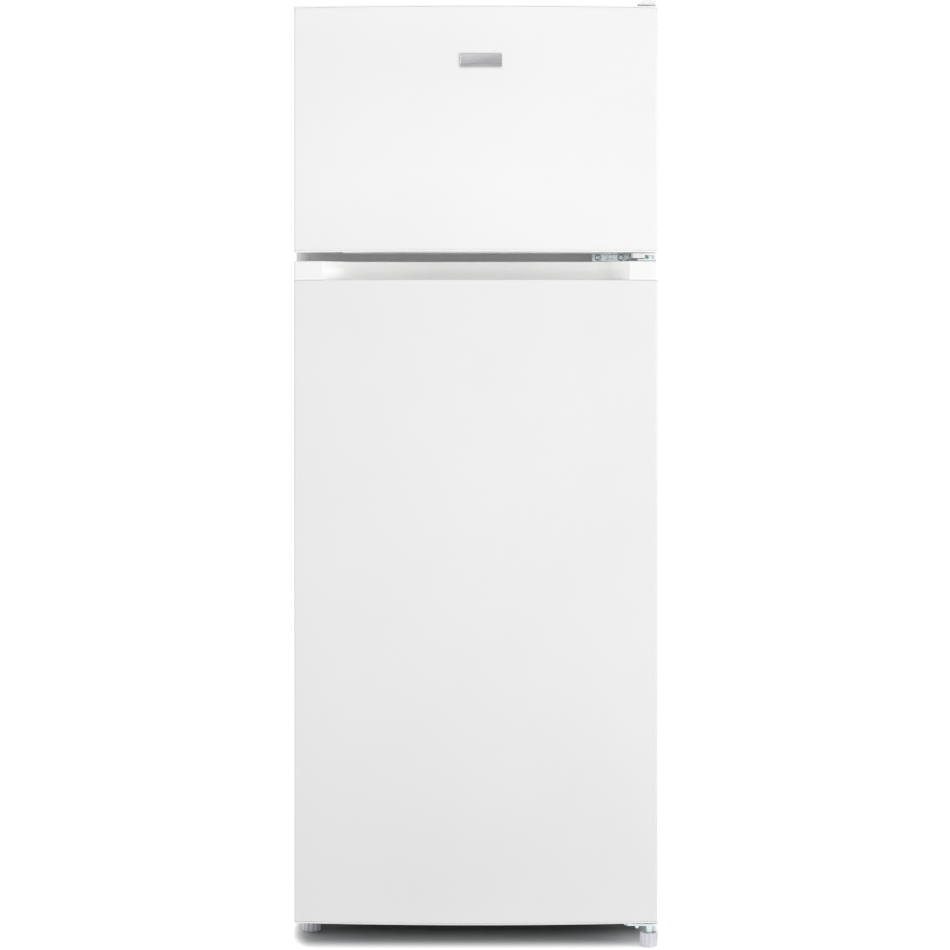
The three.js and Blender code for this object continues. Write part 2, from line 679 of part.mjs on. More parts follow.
// Condenser: from the compressor's outlet, up and down inside the left wall, and back to the drier.
{
  const corners = [
    [COMPRESSOR.x - COMPRESSOR.radius - 12, 225, 92],
    [-110, 225, 92],
    [-150, 245, 100],
    [CONDENSER_X, 245, 100],
  ];
  const last = CONDENSER_PASSES.length - 1;
  CONDENSER_PASSES.forEach((y, i) => {
    const [low, high] = [i === last ? 61 : 300, 1350];
    if (i > 0) corners.push([CONDENSER_X, y, i % 2 ? high : low]);
    corners.push([CONDENSER_X, y, i % 2 ? low : high]);
  });
  corners.push([CONDENSER_X, 128, 61], [-200, 128, 61], [-200, 215, 75], [-140, 215, 75]);
  add("condenser_coil", pipe(corners, PIPE, 14, 6), BLACK_STEEL);
}

// Hermetic compressor on its foot plate and four rubber grommets.
{
  const { x, y, radius, bottom, top } = COMPRESSOR;
  const can = turned(
    [
      [0, bottom],
      [radius - 14, bottom],
      [radius - 3, bottom + 10],
      [radius - 1, bottom + 66],
      [radius, bottom + 67],
      [radius, bottom + 76],
      [radius - 2, bottom + 78],
      [radius - 3, top - 26],
      [radius - 12, top - 9],
      [radius - 30, top],
      [0, top],
    ],
    [x, y],
    20,
  );
  const plate = box(x - 84, x + 84, y - 50, y + 50, bottom - 3, bottom + 0.5);
  const grommets = [-1, 1].flatMap((i) =>
    [-1, 1].map((j) => rod("z", [x + 72 * i, y + 38 * j, 44.8], bottom - 44, 9, 10)),
  );
  const stubs = [
    rod("x", [x - radius - 8, y + 22, 92], 22, 4.5, 8),
    rod("x", [x - radius - 8, y + 10, 140], 22, 5.5, 8),
    rod("x", [x + radius - 14, y + 10, 112], 26, 4, 8),
  ];
  const relay = box(x + radius - 20, x + radius + 26, y - 30, y + 4, bottom + 24, bottom + 84);
  add("compressor", joined(can, plate, relay, ...grommets, ...stubs), BLACK_STEEL);
}

add(
  "suction_pipe",
  pipe(
    [
      [COMPRESSOR.x - COMPRESSOR.radius - 10, COMPRESSOR.y + 10, 140],
      [-38, COMPRESSOR.y + 10, 140],
      [-38, 237, 175],
      [-38, 237, 262],
    ],
    4,
    14,
    8,
  ),
  COPPER,
);
add(
  "filter_drier",
  joined(
    rod("x", [-138, 215, 75], 12, 4.5, 8),
    rod("x", [-127, 215, 75], 74, 9, 12),
    rod("x", [-54, 215, 75], 10, 3, 8),
  ),
  COPPER,
);
add(
  "evaporating_pan",
  (() => {
    const { x, y, top } = COMPRESSOR;
    const outline = roundedRectangle(x - 78, x + 78, y - 46, y + 56, 12);
    const z = top + GAP;
    return prism(outline, "z", z, z + 32).subtract(prism(grown(outline, -2), "z", z + 2, z + 40));
  })(),
  WHITE_PLASTIC,
);
add(
  "drain_tube",
  rod("z", [DRAIN.x, DRAIN.y, 229], 56, 8, 14).subtract(rod("z", [DRAIN.x, DRAIN.y, 228], 60, 6, 14)),
  WHITE_PLASTIC,
);

// Foam between the shell and the liners, with pockets for everything that is foamed in.
{
  const front0 = FLANGE + SHEET + GAP;
  const side = [
    [front0, 44],
    [BAY.foot - 0.3, 44],
    [BAY.top - 0.3, BAY.ceiling + 0.9],
    [REAR - 1.6, BAY.ceiling + 0.9],
    [REAR - 1.6, CABINET.top - 1.3],
    [front0, CABINET.top - 1.3],
  ];
  const tubPocket = (tub, half) => {
    const reach = half + LINER + GAP;
    return prism(openFront(grown(tub, LINER + GAP)), "x", -reach, reach);
  };
  const rimPocket = (rim) =>
    box(-rim.x - GAP, rim.x + GAP, FLANGE, LINER_FRONT + 0.4, rim.z0 - GAP, rim.z1 + GAP);
  const plates = LINER + 2.6; // room outside a liner for its evaporator plate
  const foam = [
    tubPocket(fridgeSide, FRIDGE.half),
    tubPocket(freezerSide, FREEZER.half),
    rimPocket(FRIDGE_RIM),
    rimPocket(FREEZER_RIM),
    box(-HALF, HALF, FLANGE, FLANGE + 17, 1021, 1064),
    box(-190.5, 190.5, -151, FREEZER.rear + plates, FREEZER.floor - plates, FREEZER.ceiling + plates),
    box(-180.5, 180.5, FRIDGE.rear, FRIDGE.rear + plates, 419, 981),
    box(-HALF, CONDENSER_X + PIPE + 0.5, -125, 255, 50, 1362),
    box(-46, -30, 228, 246, 240, 264),
    rod("z", [DRAIN.x, DRAIN.y, 230], 70, 8.5, 14),
  ].reduce(
    (body, cut) => body.subtract(cut),
    prism(side, "x", -HALF, HALF).intersect(prism(wrapOutline(INSIDE_WRAP + 0.2, 0), "y", FLANGE, REAR)),
  );
  add("cabinet_insulation", foam, FOAM);
}

// ---------------------------------------------------------------- compressor tray and rollers
const ROLLER = { x: 236, y: 216, radius: 18, width: 15, bore: 3.4 };
{
  const plate = box(-INNER, INNER, BAY.foot + 2, REAR - 0.5, 42.4, 44.4);
  const rib = box(-INNER, INNER, REAR - 2.5, REAR - 0.5, 43, 62);
  const ears = [-1, 1].flatMap((s) => [
    box(s * ROLLER.x - 11, s * ROLLER.x - 8.5, ROLLER.y - 9, ROLLER.y + 9, 8, 43),
    box(s * ROLLER.x + 8.5, s * ROLLER.x + 11, ROLLER.y - 9, ROLLER.y + 9, 8, 43),
    rod("x", [s * ROLLER.x - 10, ROLLER.y, ROLLER.radius], 20, 3, 10),
  ]);
  add("compressor_tray", joined(plate, rib, ...ears), GALVANISED);
  for (const [name, s] of [
    ["rear_roller_left", -1],
    ["rear_roller_right", 1],
  ]) {
    const start = s * ROLLER.x - ROLLER.width / 2;
    const wheel = rod("x", [start, ROLLER.y, ROLLER.radius], ROLLER.width, ROLLER.radius, 24);
    const bore = rod("x", [start - 1, ROLLER.y, ROLLER.radius], ROLLER.width + 2, ROLLER.bore, 12);
    add(name, wheel.subtract(bore), BLACK_RUBBER);
  }
}

add(
  "mains_inlet_gland",
  joined(box(-206, -182, 256, 268, 44.7, 66), rod("y", [-194, 250, 60], 24, 9, 12)).subtract(
    rod("y", [-194, 240, 60], 45, 3.6, 10),
  ),
  BLACK_RUBBER,
);

// ---------------------------------------------------------------- hinges
const PLATE = 3; // hinge steel

// Top hinge: a plate on the cabinet's roof with a pin down into the freezer door.
{
  const z = CABINET.top + GAP;
  const outline = [
    [247.5, -152],
    [247.5, -238],
    [254, -247],
    [268, -247],
    [269, -236],
    [269, -152],
  ];
  add(
    "top_hinge_bracket",
    prism(outline.reverse(), "z", z, z + PLATE).subtract(pinHole(z - 1, z + 5)),
    ZINC,
  );
  add("top_hinge_pin", rod("z", [HINGE.x, HINGE.y, FREEZER_DOOR.top - 13], 19, PIN_RADIUS, 16), ZINC);
  const side = [
    [271, z],
    [271, HEIGHT - 2],
    [268, HEIGHT],
    [257, HEIGHT],
    [241, z + 1.5],
    [241, z],
  ];
  const outer = prism(side, "y", -253, -146);
  const room = [
    [269.3, z - 5],
    [269.3, HEIGHT - 2.6],
    [267.6, HEIGHT - 1.8],
    [257.6, HEIGHT - 1.8],
    [243.4, z + 1.5],
    [243.4, z - 5],
  ];
  add("top_hinge_cover", outer.subtract(prism(room, "y", -251.2, -147.8)), WHITE_PLASTIC);
}

// Middle hinge: a plate screwed on the mullion with an arm forward under both doors' pins.
{
  const plate = box(176, 250, FLANGE - GAP - PLATE, FLANGE - GAP, 1031.5, 1052.5);
  const arm = prism(
    [
      [226, FLANGE - 2],
      [226, -222],
      [243, -247],
      [268, -247],
      [271, -243],
      [271, -214],
      [250, FLANGE - 2],
    ],
    "z",
    1037.3,
    1040.3,
  );
  const { z } = HINGE_SCREWS;
  const holes = HINGE_SCREWS.x.map((x) => rod("y", [x, FLANGE - 8, z], 12, 2.5, 10));
  const bracket = [...holes, pinHole(1030, 1050)].reduce((b, cut) => b.subtract(cut), plate.add(arm));
  const behind = box(100, HALF, FLANGE - GAP, FLANGE + 20, 1000, 1080);
  add("middle_hinge_bracket", bracket.subtract(behind), ZINC);
  add("middle_hinge_pin", rod("z", [HINGE.x, HINGE.y, 1024], 37, PIN_RADIUS, 16), ZINC);
  HINGE_SCREWS.x.forEach((x, i) => {
    const y = FLANGE - GAP - PLATE - GAP;
    const head = rod("y", [x, y - 2.6, z], 2.6, 3.4, 14, 4.8);
    const shank = rod("y", [x, y - 0.1, z], 18, 2.1, 10);
    const across = box(x - 2.6, x + 2.6, y - 3, y - 1.2, z - 0.6, z + 0.6);
    const upright = box(x - 0.6, x + 0.6, y - 3, y - 1.2, z - 2.6, z + 2.6);
    const screw = head.add(shank).subtract(across.add(upright));
    add(i ? "middle_hinge_screw_right" : "middle_hinge_screw_left", screw, ZINC);
  });
}

// Bottom hinge: a plate under the cabinet with the pin, and the stud that the right foot runs on.
{
  const [z0, z1] = [38.7, 41.7];
  const outline = [
    [228, -250],
    [270, -250],
    [274, -246],
    [274, -196],
    [266, -130],
    [223, -130],
    [223, -242],
  ];
  const screw = { x: 243, y: -226 };
  const stud = rod("z", [RIGHT_FOOT.x, RIGHT_FOOT.y, 3.6], z1 - 4, STUD_RADIUS, 14);
  const plate = prism(outline, "z", z0, z1)
    .subtract(rod("z", [screw.x, screw.y, 30], 20, 3.1, 10))
    .subtract(pinHole(30, 50));
  add("bottom_hinge_bracket", plate.add(stud), ZINC);
  add("bottom_hinge_pin", rod("z", [HINGE.x, HINGE.y, 37], 21, PIN_RADIUS, 16), ZINC);
  const head = rod("z", [screw.x, screw.y, z1 + 0.3], 2, 4.5, 12);
  add("bottom_hinge_screw", head.add(rod("z", [screw.x, screw.y, 31], 12, 2.7, 10)), ZINC);
}

// ---------------------------------------------------------------- levelling feet
// A ribbed cup with a threaded boss that runs on a fixed stud.
function foot({ x, y, radius, height }) {
  const ribs = 12;
  const rim = Array.from({ length: ribs * 4 }, (_, k) => {
    const angle = (2 * Math.PI * (k + 0.5)) / (ribs * 4);
    const r = k % 4 < 2 ? radius : radius - 1.3;
    return [x + r * Math.cos(angle), y + r * Math.sin(angle)];
  });
  const body = prism(rim, "z", 1.2, height).add(rod("z", [x, y, 0], 1.5, radius - 3, 24, radius - 1.5));
  const cup = rod("z", [x, y, 9], height, radius - 3.6, 20);
  const boss = rod("z", [x, y, 8], height - 9, STUD_RADIUS + 2.2, 14);
  return body.subtract(cup).add(boss).subtract(rod("z", [x, y, 3.2], height, STUD_RADIUS + 0.4, 14));
}
add("levelling_foot_left", foot(LEFT_FOOT), FOOT_PLASTIC);
add("levelling_foot_right", foot(RIGHT_FOOT), FOOT_PLASTIC);

// ---------------------------------------------------------------- inside the fridge
// Glass shelf with a moulded trim along the front and a low fence at the back.
function glassShelf(z, front0, rear) {
  const half = FRIDGE.half - 1.2;
  const pane = box(-half, half, front0, rear, z + GAP, z + GAP + 4);
  const trim = box(-half, half, front0 - 5, front0 + 9, z - 5, z + 7).subtract(
    joined(
      box(-FRIDGE.half, -FRIDGE.half + RIB.depth + 0.4, front0 - 9, front0 + 9.5, z - 9, z + GAP),
      box(FRIDGE.half - RIB.depth - 0.4, FRIDGE.half, front0 - 9, front0 + 9.5, z - 9, z + GAP),
    ),
  );
  const fence = box(-half, half, rear - 6, rear, z + GAP, z + 16);
  return joined(pane, trim, fence);
}
add("glass_shelf_upper", glassShelf(746, SHELF_Y.front, SHELF_Y.rear), GLASS);
add("glass_shelf_middle", glassShelf(516, SHELF_Y.front, SHELF_Y.rear), GLASS);
add("crisper_cover_shelf", glassShelf(CRISPER_SHELF, SHELF_Y.front, SHELF_Y.rear - 22), GLASS);

// Crisper: its back leans to clear the hump.
{
  const half = 221;
  const side = [
    [-84, 101],
    [56, 101],
    [95, 262],
    [-84, 262],
  ];
  const wall = 2.5;
  const lift = 25; // carries the room out of the open top, along the leaning back
  const room = grown(side, -wall).map(([y, z]) => (z < 200 ? [y, z] : [y > 0 ? y + 5 : y, z + lift]));
  const tub = prism(side, "x", -half, half).subtract(prism(room, "x", -half + wall, half - wall));
  const grip = box(-90, 90, -96, -83.5, 246, 250).add(box(-90, 90, -96, -93.5, 232, 250));
  add("crisper_drawer", tub.add(grip), CLEAR_PLASTIC);
}

// Control box on the ceiling, with the thermostat's knob, the light switch and the lamp's lens.
const BOX = { half: 95, front: -155, rear: 30, bottom: 964, top: 1005.7 };
const KNOB = { x: 50, z: 985 };
const SWITCH = { x: -60, z: 975, half: 4 };
{
  const outer = prism(
    [
      [BOX.front, BOX.bottom + 6],
      [BOX.front + 6, BOX.bottom],
      [BOX.rear, BOX.bottom],
      [BOX.rear, BOX.top],
      [BOX.front, BOX.top],
    ],
    "x",
    -BOX.half,
    BOX.half,
  );
  const room = box(-BOX.half + 2, BOX.half - 2, BOX.front + 3, BOX.rear - 2, BOX.bottom + 4.5, BOX.top + 5);
  const openings = joined(
    rod("y", [KNOB.x, BOX.front - 5, KNOB.z], 12, 4.4, 12),
    box(
      SWITCH.x - SWITCH.half - 0.5,
      SWITCH.x + SWITCH.half + 0.5,
      BOX.front - 5,
      BOX.front + 5,
      SWITCH.z - SWITCH.half - 0.5,
      SWITCH.z + SWITCH.half + 0.5,
    ),
    box(-38, 38, -58, 8, BOX.bottom - 5, BOX.bottom + 12),
  );
  add("control_box", outer.subtract(room).subtract(openings), WHITE_PLASTIC);
  const lens = box(-44, 44, -64, 14, BOX.bottom - 8, BOX.bottom - GAP).subtract(
    box(-42, 42, -62, 12, BOX.bottom - 6, BOX.bottom + 2),
  );
  add("lamp_lens", lens, CLEAR_PLASTIC);
  const dial = rod("y", [KNOB.x, BOX.front - GAP - 6, KNOB.z], 6, 15, 24);
  const grip = box(KNOB.x - 3, KNOB.x + 3, BOX.front - 10.5, BOX.front - 6, KNOB.z - 13, KNOB.z + 13);
  const spindle = rod("y", [KNOB.x, BOX.front - 1, KNOB.z], 14, 4, 12);
  add("thermostat_knob", joined(dial, grip, spindle), GREY_PLASTIC);
  const stem = (half, y0, y1) =>
    box(SWITCH.x - half, SWITCH.x + half, y0, y1, SWITCH.z - half, SWITCH.z + half);
  add(
    "light_switch_button",
    joined(
      stem(SWITCH.half, RIDGE.back + GAP, BOX.front + 11),
      stem(SWITCH.half + 2, BOX.front + 8, BOX.front + 11),
    ),
    WHITE_PLASTIC,
  );
}

// ---------------------------------------------------------------- inside the freezer
// Wire shelf: a rectangular rim with rods welded across it, resting on the ledges.
{
  const z = 1213 + GAP;
  const half = FREEZER.half - 1.5;
  const [y0, y1] = [-82, 216];
  const rim = prism(rectangle(-half, half, y0, y1), "z", z, z + 5).subtract(
    prism(rectangle(-half + 5, half - 5, y0 + 5, y1 - 5), "z", z - 1, z + 6),
  );
  const count = 15;
  const wires = Array.from({ length: count }, (_, i) => {
    const x = -half + ((i + 1) * 2 * half) / (count + 1);
    return rod("y", [x, y0 + 2, z + 3.2], y1 - y0 - 4, 1.7, 6);
  });
  const middle = box(-half + 2, half - 2, 64, 69, z + 0.2, z + 2.6);
  add("freezer_shelf", joined(rim, middle, ...wires), WHITE_STEEL);
}

// Ice tray: two rows of four cells.
{
  const [x0, y0, z0] = [-176, -40, 1218.6];
  const [width, length, height] = [104, 196, 34];
  let tray = prism(roundedRectangle(x0, x0 + width, y0, y0 + length, 8), "z", z0, z0 + height);
  for (let i = 0; i < 2; i++)
    for (let j = 0; j < 4; j++) {
      const [x, y] = [x0 + 28 + 48 * i, y0 + 26 + 48 * j];
      const cell = new THREE.CylinderGeometry(30.5, 25, 33, 4).rotateX(Math.PI / 2).rotateZ(Math.PI / 4);
      tray = tray.subtract(solid(cell.translate(x, y, z0 + 3 + 16.5)));
    }
  add("ice_tray", tray, GREY_PLASTIC);
}

export default refrigerator;
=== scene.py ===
"""Looks for a two-door refrigerator with the freezer on top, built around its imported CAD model.

Lengths below are millimetres in the CAD model's frame (+Z up, doors facing -Y), and become metres
where a mesh is made.
"""

import math

import bmesh
import bpy
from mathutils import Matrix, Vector


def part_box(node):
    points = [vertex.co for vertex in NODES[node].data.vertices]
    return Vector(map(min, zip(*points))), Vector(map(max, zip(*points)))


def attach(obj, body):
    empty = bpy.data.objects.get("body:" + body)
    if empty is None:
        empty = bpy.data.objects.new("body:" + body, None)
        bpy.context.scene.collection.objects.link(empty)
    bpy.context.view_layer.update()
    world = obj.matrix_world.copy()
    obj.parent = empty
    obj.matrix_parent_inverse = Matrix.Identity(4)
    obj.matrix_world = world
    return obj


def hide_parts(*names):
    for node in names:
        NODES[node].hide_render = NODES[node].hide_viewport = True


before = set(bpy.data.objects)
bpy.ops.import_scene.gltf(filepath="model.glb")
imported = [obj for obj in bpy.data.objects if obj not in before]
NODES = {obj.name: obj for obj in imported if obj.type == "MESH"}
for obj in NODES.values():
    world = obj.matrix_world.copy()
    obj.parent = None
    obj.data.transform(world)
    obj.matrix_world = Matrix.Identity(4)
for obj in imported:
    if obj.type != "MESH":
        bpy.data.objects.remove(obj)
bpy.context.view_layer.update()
MM = 0.001


def span(node):
    """A CAD node's lowest and highest corners, in millimetres."""
    low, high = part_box(node)
    return low / MM, high / MM


# ---- materials
def put(tree, node, inputs):
    """Sets each named input of a node to a number, or links it from a socket."""
    for name, value in inputs.items():
        if isinstance(value, bpy.types.NodeSocket):
            tree.links.new(value, node.inputs[name])
        else:
            node.inputs[name].default_value = value
    return node


def noise(tree, vector, size, detail=3.0):
    """A noise texture whose blotches are about `size` millimetres across."""
    node = tree.nodes.new("ShaderNodeTexNoise")
    put(tree, node, {"Vector": vector, "Scale": 1.0 / (size * MM), "Detail": detail, "Roughness": 0.55})
    return node.outputs["Fac"]


def spread(tree, factor, low, high):
    """Maps the middle of a noise's range onto low..high."""
    node = tree.nodes.new("ShaderNodeMapRange")
    node.interpolation_type = "SMOOTHSTEP"
    put(tree, node, {"Value": factor, "From Min": 0.3, "From Max": 0.7, "To Min": low, "To Max": high})
    return node.outputs["Result"]


def material(
    name, color, roughness, metallic=0.0, tint=0.03, tint_size=160, second=None, rough_spread=0.05,
    rough_size=25, bump=0.05, bump_size=1.5, bump_detail=3.0, stretch=(1, 1, 1), spangle=0, coat=0.0,
    see_through=None, ior=1.5, soft=0.0,
):
    """A procedural surface: colour that drifts by `tint` or towards `second`, uneven gloss and a
    fine bump. It can have stretched grain, metal spangle, a clear coat, light that enters it, and
    `see_through`, its opacity (straight on, edge on). Sizes are in millimetres."""
    made = bpy.data.materials.new(name)
    made.use_nodes = True
    tree = made.node_tree
    new = tree.nodes.new
    place = new("ShaderNodeTexCoord")
    mapping = put(tree, new("ShaderNodeMapping"), {"Vector": place.outputs["Object"], "Scale": stretch})
    vector = mapping.outputs["Vector"]
    factor = noise(tree, vector, tint_size)
    if spangle:
        cells = put(tree, new("ShaderNodeTexVoronoi"), {"Vector": vector, "Scale": 1.0 / (spangle * MM)})
        grey = put(tree, new("ShaderNodeRGBToBW"), {"Color": cells.outputs["Color"]})
        factor = grey.outputs["Val"]
    ramp = put(tree, new("ShaderNodeValToRGB"), {"Fac": factor})
    dark = second or [c * (1 - tint) for c in color]
    light = [min(1.0, c * (1 + tint)) for c in color]
    for stop, position, tone in zip(ramp.color_ramp.elements, (0.3, 0.7), (dark, light)):
        stop.position = position
        stop.color = (*tone, 1)
    uneven = noise(tree, vector, rough_size)
    grain = noise(tree, vector, bump_size, bump_detail)
    relief = put(tree, new("ShaderNodeBump"), {"Strength": 1.0, "Distance": bump * MM, "Height": grain})
    shader = tree.nodes["Principled BSDF"]
    put(tree, shader, {
        "Base Color": ramp.outputs["Color"], "Metallic": metallic, "IOR": ior,
        "Roughness": spread(tree, uneven, roughness - rough_spread, roughness + rough_spread),
        "Coat Weight": coat, "Coat Roughness": 0.12, "Subsurface Weight": soft,
        "Subsurface Scale": 0.002, "Normal": relief.outputs["Normal"],
    })
    if see_through:
        facing = new("ShaderNodeLayerWeight").outputs["Facing"]
        straight_on, edge_on = see_through
        limits = {"From Min": 0.15, "From Max": 0.95, "To Min": straight_on, "To Max": edge_on}
        opacity = put(tree, new("ShaderNodeMapRange"), {"Value": facing, **limits})
        tree.links.new(opacity.outputs["Result"], shader.inputs["Alpha"])
    return made


PAINT = material(
    "white_paint", (0.83, 0.835, 0.83), 0.32, tint=0.008, rough_spread=0.015, rough_size=90, bump=0.0012,
    bump_size=2.6, coat=0.1,
)
CAP = material(
    "white_cap_plastic", (0.88, 0.88, 0.875), 0.2, tint=0.012, rough_spread=0.04, bump=0.004, bump_size=3,
    soft=0.05,
)
TRIM = material("white_trim_plastic", (0.8, 0.81, 0.81), 0.42, tint=0.02, bump=0.015, bump_size=0.8)
LINER = material(
    "liner_plastic", (0.83, 0.85, 0.855), 0.3, tint=0.01, rough_spread=0.012, rough_size=120, bump=0.003,
    bump_size=30, bump_detail=1.0, coat=0.15,
)
KNOB_GREY = material("grey_plastic", (0.42, 0.44, 0.46), 0.5, tint=0.04, bump=0.01, bump_size=0.6)
TRAY_GREY = material("tray_plastic", (0.62, 0.65, 0.68), 0.4, bump=0.01, bump_size=0.9, soft=0.1)
DARK_MARK = material("dark_print", (0.09, 0.1, 0.12), 0.5, tint=0.1, tint_size=4, bump=0.004, bump_size=0.5)
FOOT = material(
    "foot_plastic", (0.7, 0.68, 0.73), 0.45, tint=0.05, tint_size=12, bump=0.03, bump_size=0.8, soft=0.1
)
CLEAR = material(
    "clear_plastic", (0.78, 0.86, 0.9), 0.1, tint=0.015, rough_spread=0.03, bump=0.004, bump_size=6,
    see_through=(0.13, 0.75), ior=1.49,
)
GLASS = material(
    "shelf_glass", (0.66, 0.8, 0.76), 0.06, tint=0.02, rough_spread=0.02, bump=0.002, bump_size=20,
    see_through=(0.12, 0.7),
)
WIRE = material("coated_wire", (0.82, 0.83, 0.83), 0.35, tint_size=20, bump=0.02, bump_size=1.2, coat=0.2)
ZINC = material(
    "zinc_plate", (0.86, 0.93, 0.94), 0.34, metallic=0.7, second=(0.78, 0.88, 0.9), tint_size=9,
    rough_spread=0.1, rough_size=6, bump=0.012, bump_size=1.0,
)
GALVANISED = material(
    "galvanised_sheet", (0.52, 0.54, 0.56), 0.44, metallic=0.8, tint=0.05, spangle=6, rough_spread=0.06,
    bump=0.01, bump_size=2,
)
FOAM = material("rigid_foam", (0.72, 0.6, 0.3), 0.9, tint=0.12, tint_size=14, bump=0.5, bump_size=2)
VINYL = material(
    "gasket_vinyl", (0.66, 0.67, 0.66), 0.55, tint=0.05, tint_size=30, bump=0.03, bump_size=1.0, soft=0.1
)
RUBBER = material("black_rubber", (0.025, 0.025, 0.026), 0.75, tint=0.3, tint_size=8, bump_size=1.0)
ENAMEL = material(
    "black_enamel", (0.018, 0.018, 0.02), 0.32, tint=0.25, tint_size=20, rough_spread=0.1, bump=0.04,
    bump_size=2.5, coat=0.3,
)
COPPER = material(
    "drawn_copper", (0.72, 0.33, 0.17), 0.28, metallic=1.0, second=(0.45, 0.2, 0.11), tint_size=14,
    rough_spread=0.1, rough_size=8, bump=0.02, bump_size=1.5,
)
ALUMINIUM = material(
    "rolled_aluminium", (0.7, 0.71, 0.72), 0.35, metallic=0.95, tint=0.05, stretch=(0.05, 1, 1), bump=0.02,
    bump_size=1,
)
BRUSHED = material(
    "brushed_silver", (0.5, 0.5, 0.51), 0.34, metallic=0.85, tint=0.1, tint_size=1.2, stretch=(0.04, 1, 1),
    rough_spread=0.08, rough_size=1.5, bump=0.01, bump_size=0.4,
)


# ---- mesh building
def arc(cx, cy, radius, start, end, steps):
    """Points on a circle between two angles in degrees."""
    angles = [math.radians(start + (end - start) * k / steps) for k in range(steps + 1)]
    return [(cx + radius * math.cos(a), cy + radius * math.sin(a)) for a in angles]


def rounded_rectangle(u0, u1, v0, v1, radii, steps=6):
    """Counter-clockwise loop from the lower right corner; radii is one number, or four."""
    r = radii if hasattr(radii, "__len__") else [radii] * 4
    return [
        *arc(u1 - r[0], v0 + r[0], r[0], -90, 0, steps),
        *arc(u1 - r[1], v1 - r[1], r[1], 0, 90, steps),
        *arc(u0 + r[2], v1 - r[2], r[2], 90, 180, steps),
        *arc(u0 + r[3], v0 + r[3], r[3], 180, 270, steps),
    ]


def filleted(outline, radius, steps=4):
    """The outline with each corner replaced by a curve that starts `radius` before it."""
    loop = []
    count = len(outline)
    for i, point in enumerate(outline):
        corner = Vector(point)
        before, after = Vector(outline[i - 1]), Vector(outline[(i + 1) % count])
        reach = min(radius, (before - corner).length * 0.45, (after - corner).length * 0.45)
        a = corner + (before - corner).normalized() * reach
        b = corner + (after - corner).normalized() * reach
        for k in range(steps + 1):
            t = k / steps
            loop.append(tuple(a * (1 - t) ** 2 + corner * 2 * t * (1 - t) + b * t**2))
    return loop


def inset(loop, distance):
    """The loop moved inwards by a distance, each point along its own normal."""
    area = sum(
        loop[i - 1][0] * loop[i][1] - loop[i][0] * loop[i - 1][1] for i in range(len(loop))
    )
    turn = 1 if area > 0 else -1
    moved = []
    for i, point in enumerate(loop):
        tangent = Vector(loop[(i + 1) % len(loop)]) - Vector(loop[i - 1])
        normal = Vector((-tangent.y, tangent.x)).normalized() * turn
        moved.append((point[0] + normal.x * distance, point[1] + normal.y * distance))
    return moved


def placed(loop, axis, w):
    """A 2-D loop as 3-D points: (x, y) for axis z, (x, z) for axis y, (y, z) for axis x."""
    if axis == "z":
        return [(u, v, w) for u, v in loop]
    if axis == "y":
        return [(u, w, v) for u, v in loop]
    return [(w, u, v) for u, v in loop]


class Shape:
    """Vertices and faces in millimetres, gathered from several forms into one piece."""

    def __init__(self):
        self.vertices = []
        self.faces = []

    def loft(self, rings, caps=True, looped=False):
        """Joins rings of equally many points. `looped` joins the last to the first instead of capping."""
        first = len(self.vertices)
        size = len(rings[0])
        for ring in rings:
            self.vertices.extend(ring)
        for i in range(len(rings) if looped else len(rings) - 1):
            a, b = first + i * size, first + ((i + 1) % len(rings)) * size
            for k in range(size):
                n = (k + 1) % size
                self.faces.append((a + k, a + n, b + n, b + k))
        if caps and not looped:
            last = first + (len(rings) - 1) * size
            self.faces.append(tuple(first + k for k in reversed(range(size))))
            self.faces.append(tuple(last + k for k in range(size)))
        return self

    def plate(self, loop, axis, low, high, edge, steps=3):
        """A slab with the loop's outline and rounded rims of radius `edge`."""
        turns = [math.radians(90 * k / steps) for k in range(steps + 1)]
        rims = [(edge * (1 - math.sin(t)), edge * (1 - math.cos(t))) for t in turns]
        rings = [placed(inset(loop, back), axis, low + rise) for back, rise in rims]
        rings += [placed(inset(loop, back), axis, high - rise) for back, rise in reversed(rims)]
        return self.loft(rings)

    def bar(self, x0, x1, y0, y1, z0, z1, edge):
        """A block with rounded edges all round."""
        loop = rounded_rectangle(x0, x1, y0, y1, min(edge * 1.2, (x1 - x0) * 0.45, (y1 - y0) * 0.45), 3)
        return self.plate(loop, "z", z0, z1, min(edge, (z1 - z0) * 0.45))

    def turned(self, profile, centre, axis="z", sides=40):
        """A body of revolution from (radius, height) points, about an axis through `centre`."""
        rings = []
        for radius, height in profile:
            loop = arc(0, 0, max(radius, 0.01), 0, 360 * (sides - 1) / sides, sides - 1)
            rings.append([tuple(Vector(p) + Vector(centre)) for p in placed(loop, axis, height)])
        return self.loft(rings)

    def tube(self, path, radius, sides=12):
        """A round bar along 3-D points."""
        points = [Vector(p) for p in path]
        rings = []
        side = None
        for i, point in enumerate(points):
            ahead = points[min(i + 1, len(points) - 1)]
            along = (ahead - points[max(i - 1, 0)]).normalized()
            if side is None:
                side = along.orthogonal().normalized()
            side = (side - along * side.dot(along)).normalized()
            up = along.cross(side)
            turns = [2 * math.pi * k / sides for k in range(sides)]
            ring = [point + side * radius * math.cos(a) + up * radius * math.sin(a) for a in turns]
            rings.append([tuple(p) for p in ring])
        return self.loft(rings)

    def bent(self, move):
        """Every vertex passed through a function."""
        self.vertices = [move(*v) for v in self.vertices]
        return self


def shade(mesh, angle):
    """Smooth shading with creases where faces meet at more than `angle` degrees."""
    mesh.shade_smooth()
    mesh.set_sharp_from_angle(angle=math.radians(angle))


